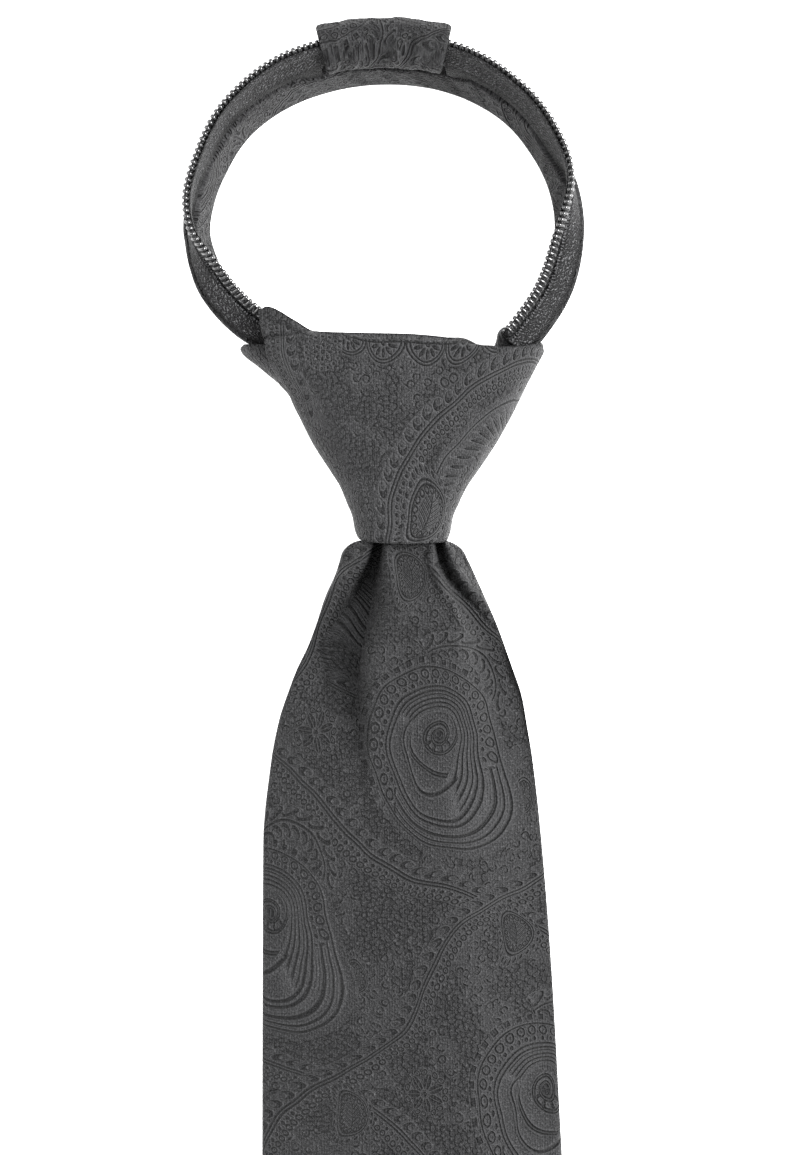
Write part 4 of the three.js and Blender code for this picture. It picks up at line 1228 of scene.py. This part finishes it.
def filler_piece(name, node, first, last):
    """The soft cord that runs inside the coil and is sewn down with it"""
    def place(s, t):
        arc = blend(first + 0.4, last - 0.4, t)
        _, root, _, up, _, through = loop_frame(turn_at_arc(arc))
        end = end_round(arc - first - 0.4, 0.4) * end_round(last - 0.4 - arc, 0.4)
        angle = 2 * np.pi * s
        u = COIL_START + COIL_WIDTH / 2 - 0.4 - np.cos(angle) * end * FILLER[0]
        v = np.sin(angle) * end * FILLER[1]
        return (root + up * u[:, None] + through * v[:, None]).T, (arc, s * 3)

    piece = sheet_of(name, 10, 240, place)
    dressed(piece, tape_finish, node)


coil_piece("zip_coil_left_wire", "zip_coil_left", *LEFT_ROW)
coil_piece("zip_coil_right_wire", "zip_coil_right", *RIGHT_ROW)
filler_piece("zip_coil_left_cord", "zip_coil_left", *LEFT_ROW)
filler_piece("zip_coil_right_cord", "zip_coil_right", *RIGHT_ROW)


# ------------------------------------------------------------------ sleeve
# The sleeve: a short tube of the tie's cloth over the place where the two rows meet behind the neck.
def sleeve_place(s, t):
    first = arc_at_x(SLEEVE_SHIFT - SLEEVE_LENGTH / 2)
    last = arc_at_x(SLEEVE_SHIFT + SLEEVE_LENGTH / 2)
    share = np.where(t <= 0.5, t * 2, 2 - 2 * t)
    outer = np.where(t <= 0.5, 1.0, -1.0)
    length = last - first
    end = end_round(share * length, SLEEVE_WALL / 2) * end_round((1 - share) * length, SLEEVE_WALL / 2)
    shell = SLEEVE_WALL / 2 * (1 + outer * end)
    turn = turn_at_arc(blend(first, last, share))
    _, root, _, up, _, through = loop_frame(turn)
    hollow = COIL_START + COIL_WIDTH + SLEEVE_ROOM + SLEEVE_SLACK
    room = COIL_THICKNESS + 2 * GAP
    around = 2 * np.pi * (1 - s)
    flat = (hollow - room) / 2
    cosine, sine = np.cos(around), np.sin(around)
    u = -SLEEVE_ROOM + hollow / 2 + (hollow / 2 + shell) * signed_power(cosine, 0.55)
    v = (room / 2 + shell) * signed_power(sine, 0.55)
    crush = 0.3 * np.sin(share * 19 + 2.2 * cosine) + 0.2 * np.sin(share * 37 - 2.5 * cosine + 1)
    crush = crush + 0.12 * np.sin(share * 71 + 4 * cosine)
    crush = crush + 0.5 * np.exp(-((share - 0.5 - 0.16 * cosine) / 0.05) ** 2)
    v = v + np.maximum(outer, 0) * end * crush * np.abs(sine)
    point = root + up * u[:, None] + through * v[:, None]
    return point.T, (share * length + 515, (hollow + room) * s * 2 + 21)


sleeve = sheet_of("sleeve_cloth", 96, 160, sleeve_place)
dressed(sleeve, blade_finish, "sleeve")


# ------------------------------------------------------------------ slider
# The slider: a small die-cast zinc body, plated dark, of two plates joined by a wedge, with flanges that
# guide the coils and a loop on top. It sits inside the knot, which is pushed up or down to move it.
SLIDER_LOW, SLIDER_HIGH = [np.array(corner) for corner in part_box("slider")]
SLIDER_SIZE = SLIDER_HIGH - SLIDER_LOW
SLIDER_MIDDLE = (SLIDER_LOW + SLIDER_HIGH) / 2
PLATE_THICKNESS = 0.0006
FLANGE_WIDTH = 0.0008
SLIDER_NARROW = 0.66
SLIDER_CORNER = 0.0013
WEDGE_SIZE = (0.0022, 0.003)
WEDGE_INSET = 0.0019
LOOP_RADIUS = 0.0011
CAST_EDGE = 0.00012
METAL_COLOUR = (0.035, 0.035, 0.038)


def slider_block(size, centre, narrow, corner):
    """A cast block: narrower at its lower end, with rounded upright corners and softened edges"""
    bpy.ops.object.select_all(action="DESELECT")
    bpy.ops.mesh.primitive_cube_add(size=1)
    block = bpy.context.active_object
    bpy.ops.object.mode_set(mode="EDIT")
    bpy.ops.mesh.select_all(action="SELECT")
    bpy.ops.transform.resize(value=tuple(size))
    cast = bmesh.from_edit_mesh(block.data)
    for vertex in cast.verts:
        vertex.select_set(vertex.co.y < 0)
    cast.select_flush(False)
    bpy.ops.transform.resize(value=(narrow, 1, 1), center_override=(0, 0, 0))
    for edge in cast.edges:
        edge.select_set(bool(abs(edge.verts[0].co.z - edge.verts[1].co.z) > size[2] / 2))
    bpy.ops.mesh.bevel(offset=corner, segments=5)
    bpy.ops.mesh.select_all(action="SELECT")
    bpy.ops.transform.translate(value=tuple(centre))
    bpy.ops.object.mode_set(mode="OBJECT")
    soften = block.modifiers.new("cast_edges", "BEVEL")
    soften.width = CAST_EDGE
    soften.segments = 2
    bpy.ops.object.modifier_apply(modifier=soften.name)
    return block


slider_low_z = SLIDER_LOW[2] + PLATE_THICKNESS / 2
slider_high_z = SLIDER_HIGH[2] - PLATE_THICKNESS * 2
inside = slider_high_z - slider_low_z
slider_x, slider_y = SLIDER_MIDDLE[:2]
plate_size = (SLIDER_SIZE[0], SLIDER_SIZE[1], PLATE_THICKNESS)
slider_parts = [
    slider_block(plate_size, (slider_x, slider_y, height), SLIDER_NARROW, SLIDER_CORNER)
    for height in (slider_low_z, slider_high_z)
]
wedge_place = (slider_x, SLIDER_HIGH[1] - WEDGE_INSET, (slider_low_z + slider_high_z) / 2)
slider_parts.append(slider_block((*WEDGE_SIZE, inside), wedge_place, 0.2, 0.0004))
for way in (-1, 1):
    flange_x = slider_x + way * (SLIDER_SIZE[0] * SLIDER_NARROW - FLANGE_WIDTH) / 2
    flange_place = (flange_x, SLIDER_LOW[1] + SLIDER_SIZE[1] * 0.3, slider_low_z + inside / 4)
    flange_size = (FLANGE_WIDTH, SLIDER_SIZE[1] * 0.55, inside / 2)
    slider_parts.append(slider_block(flange_size, flange_place, 1.0, 0.0003))
bpy.ops.object.select_all(action="DESELECT")
bpy.ops.mesh.primitive_torus_add(
    major_radius=LOOP_RADIUS, minor_radius=PLATE_THICKNESS / 2, major_segments=28, minor_segments=10,
    location=(slider_x, slider_y + 0.0006, slider_high_z - 0.0001), rotation=(0, np.pi / 2, 0))
slider_parts.append(bpy.context.active_object)
for part in slider_parts:
    part.select_set(True)
bpy.ops.object.join()
slider = bpy.context.active_object
slider.name = slider.data.name = "zip_slider"
bpy.ops.object.transform_apply(location=True, rotation=True, scale=True)
bpy.ops.object.shade_smooth_by_angle(angle=0.6)

cast_metal = bpy.data.materials.new("plated_zinc")
cast_metal.use_nodes = True
metal_place = Yarn(cast_metal.node_tree.nodes.new("ShaderNodeTexCoord").outputs["Object"])
pitting = metal_place.node("TexNoise", None, {"Vector": metal_place, "Scale": 3500.0, "Detail": 3.0})
rubbed = metal_place.node("TexNoise", None, {"Vector": metal_place, "Scale": 600.0, "Detail": 2.0})
rubbed = rubbed.soft(0.4, 0.65)
feed(cast_metal, {
    "Base Color": rubbed.tint(METAL_COLOUR, shaded(METAL_COLOUR, 3)),
    "Roughness": rubbed * -0.15 + 0.42,
    "Normal": pitting.bump(0.4, 0.00005),
}, {"Metallic": 0.9})
dressed(slider, cast_metal, "slider")


# ------------------------------------------------------------------ tail
# The closed end of the zip: below the slider the two tapes and coils lie joined on a flat ribbon, which
# hangs behind the blade. The loop is made smaller by pulling it.
TAIL_FIRST = -0.035
TAIL_TABLE = [
    # below, wide, lift
    (TAIL_FIRST, 0, 1),
    (0.004, 0, 1),
    (0.03, 0.45, 0.75),
    (0.07, 0.9, 0.25),
    (0.11, 1, 0),
    (0.5, 1, 0),
    (0.94, 1, 0),
    (0.975, 0.8, 0),
    (1, -1.3, 0),
]
THROAT_HALF = 3.9
THROAT_X = 0.565
THROAT_LIFT = KNOT_WALL + GAP
TAIL_TAPE_INSET = 1.0
TAIL_BAND = (0.0, 1.1)
TAIL_TAPE = (1.4, 2.1)
TAIL_COIL = (2.4, 3.9)
RIBBON_COLOUR = (0.014, 0.014, 0.015)
t_wide, t_lift = columns(TAIL_TABLE)


def tail_line(below):
    """The tail's middle line and its lift off the ground, by its share of length below the foot"""
    down = below * TAIL_LENGTH
    swing = np.clip(below / 0.11, 0, 1)
    at = np.array([lean_at(d) for d in np.atleast_1d(down)])
    return blend(THROAT_X, at, swing), KNOT_FOOT - down, t_lift(below) * THROAT_LIFT


def tail_place(last, layer, inset, groove_depth):
    """One flat layer of the tail, down to a share of its length"""
    def place(s, t):
        below = blend(TAIL_FIRST, last, 1 - t)
        thick = layer[1] - layer[0]
        across, side = round_strip(s, edge_share(2 * TAIL_HALF, thick))
        x, y, z = tail_line(below)
        half = blend(THROAT_HALF, TAIL_HALF, t_wide(below)) - inset
        end = end_round((last - below) * TAIL_LENGTH, 0.4)
        end = end * end_round((below - TAIL_FIRST) * TAIL_LENGTH, 0.4)
        u = (2 * across - 1) * half
        groove = np.where(side > 0, np.exp(-((u / 0.5) ** 2)) * groove_depth, 0)
        height = z + (layer[0] + layer[1]) / 2 + side * end * thick / 2 * (1 - groove)
        return (x + u, y, height), (below * TAIL_LENGTH + 40, u + 2.3 + np.where(side < 0, 20, 0))
    return place


def ribbon():
    """Grosgrain ribbon: fine ribs across it"""
    finish, flat = new_finish("tail_ribbon")
    grain = flat.noise(3.0, 2.0)
    ribs = (flat.split()[0] * (ONCE_ROUND / 0.7)).math("SINE")
    tone = ribs * 0.25 + grain * 0.6 + 0.2
    return feed(finish, {
        "Base Color": tone.tint(shaded(RIBBON_COLOUR, 0.4), shaded(RIBBON_COLOUR, 1.6)),
        "Normal": (ribs + grain).bump(0.8, 0.00012),
    }, {"Roughness": 0.55})


tail_band = sheet_of("tail_ribbon", 40, 260, tail_place(1.0, TAIL_BAND, 0.0, 0.0))
dressed(tail_band, ribbon(), "tail_band")

tail_tape = sheet_of("tail_tape_weave", 48, 260, tail_place(0.965, TAIL_TAPE, TAIL_TAPE_INSET, 0.5))
dressed(tail_tape, tape_finish, "tail_tape")

# The closed chain: two coils whose teeth lie between each other.
CHAIN_HALF = 1.9
CHAIN_MIDDLE = 0.72
CHAIN_STEPS = 12
chain_first, chain_last = TAIL_FIRST * TAIL_LENGTH + 0.6, 0.955 * TAIL_LENGTH - 0.6
chain_turns = int((chain_last - chain_first) / COIL_PITCH)
for name, way in (("tail_coil_wire_left", -1), ("tail_coil_wire_right", 1)):
    phase = np.linspace(0, chain_turns - 1, (chain_turns - 1) * CHAIN_STEPS + 1)
    down = chain_first + (wire_advance(phase) + (0.5 if way > 0 else 0)) * COIL_PITCH
    x, y, z = tail_line(down / TAIL_LENGTH)
    z = z + (TAIL_COIL[0] + TAIL_COIL[1]) / 2
    centre = np.stack([x + way * CHAIN_MIDDLE, y, z], 1)
    up = np.tile([-float(way), 0.0, 0.0], (len(phase), 1))
    through = np.tile([0.0, 0.0, 1.0], (len(phase), 1))
    size = 2 * (CHAIN_HALF - CHAIN_MIDDLE), TAIL_COIL[1] - TAIL_COIL[0]
    rings = coil_rings(phase, centre, up, through, *size)
    chain = wire_piece(name, rings)
    dressed(chain, wire_finish, "tail_coil")
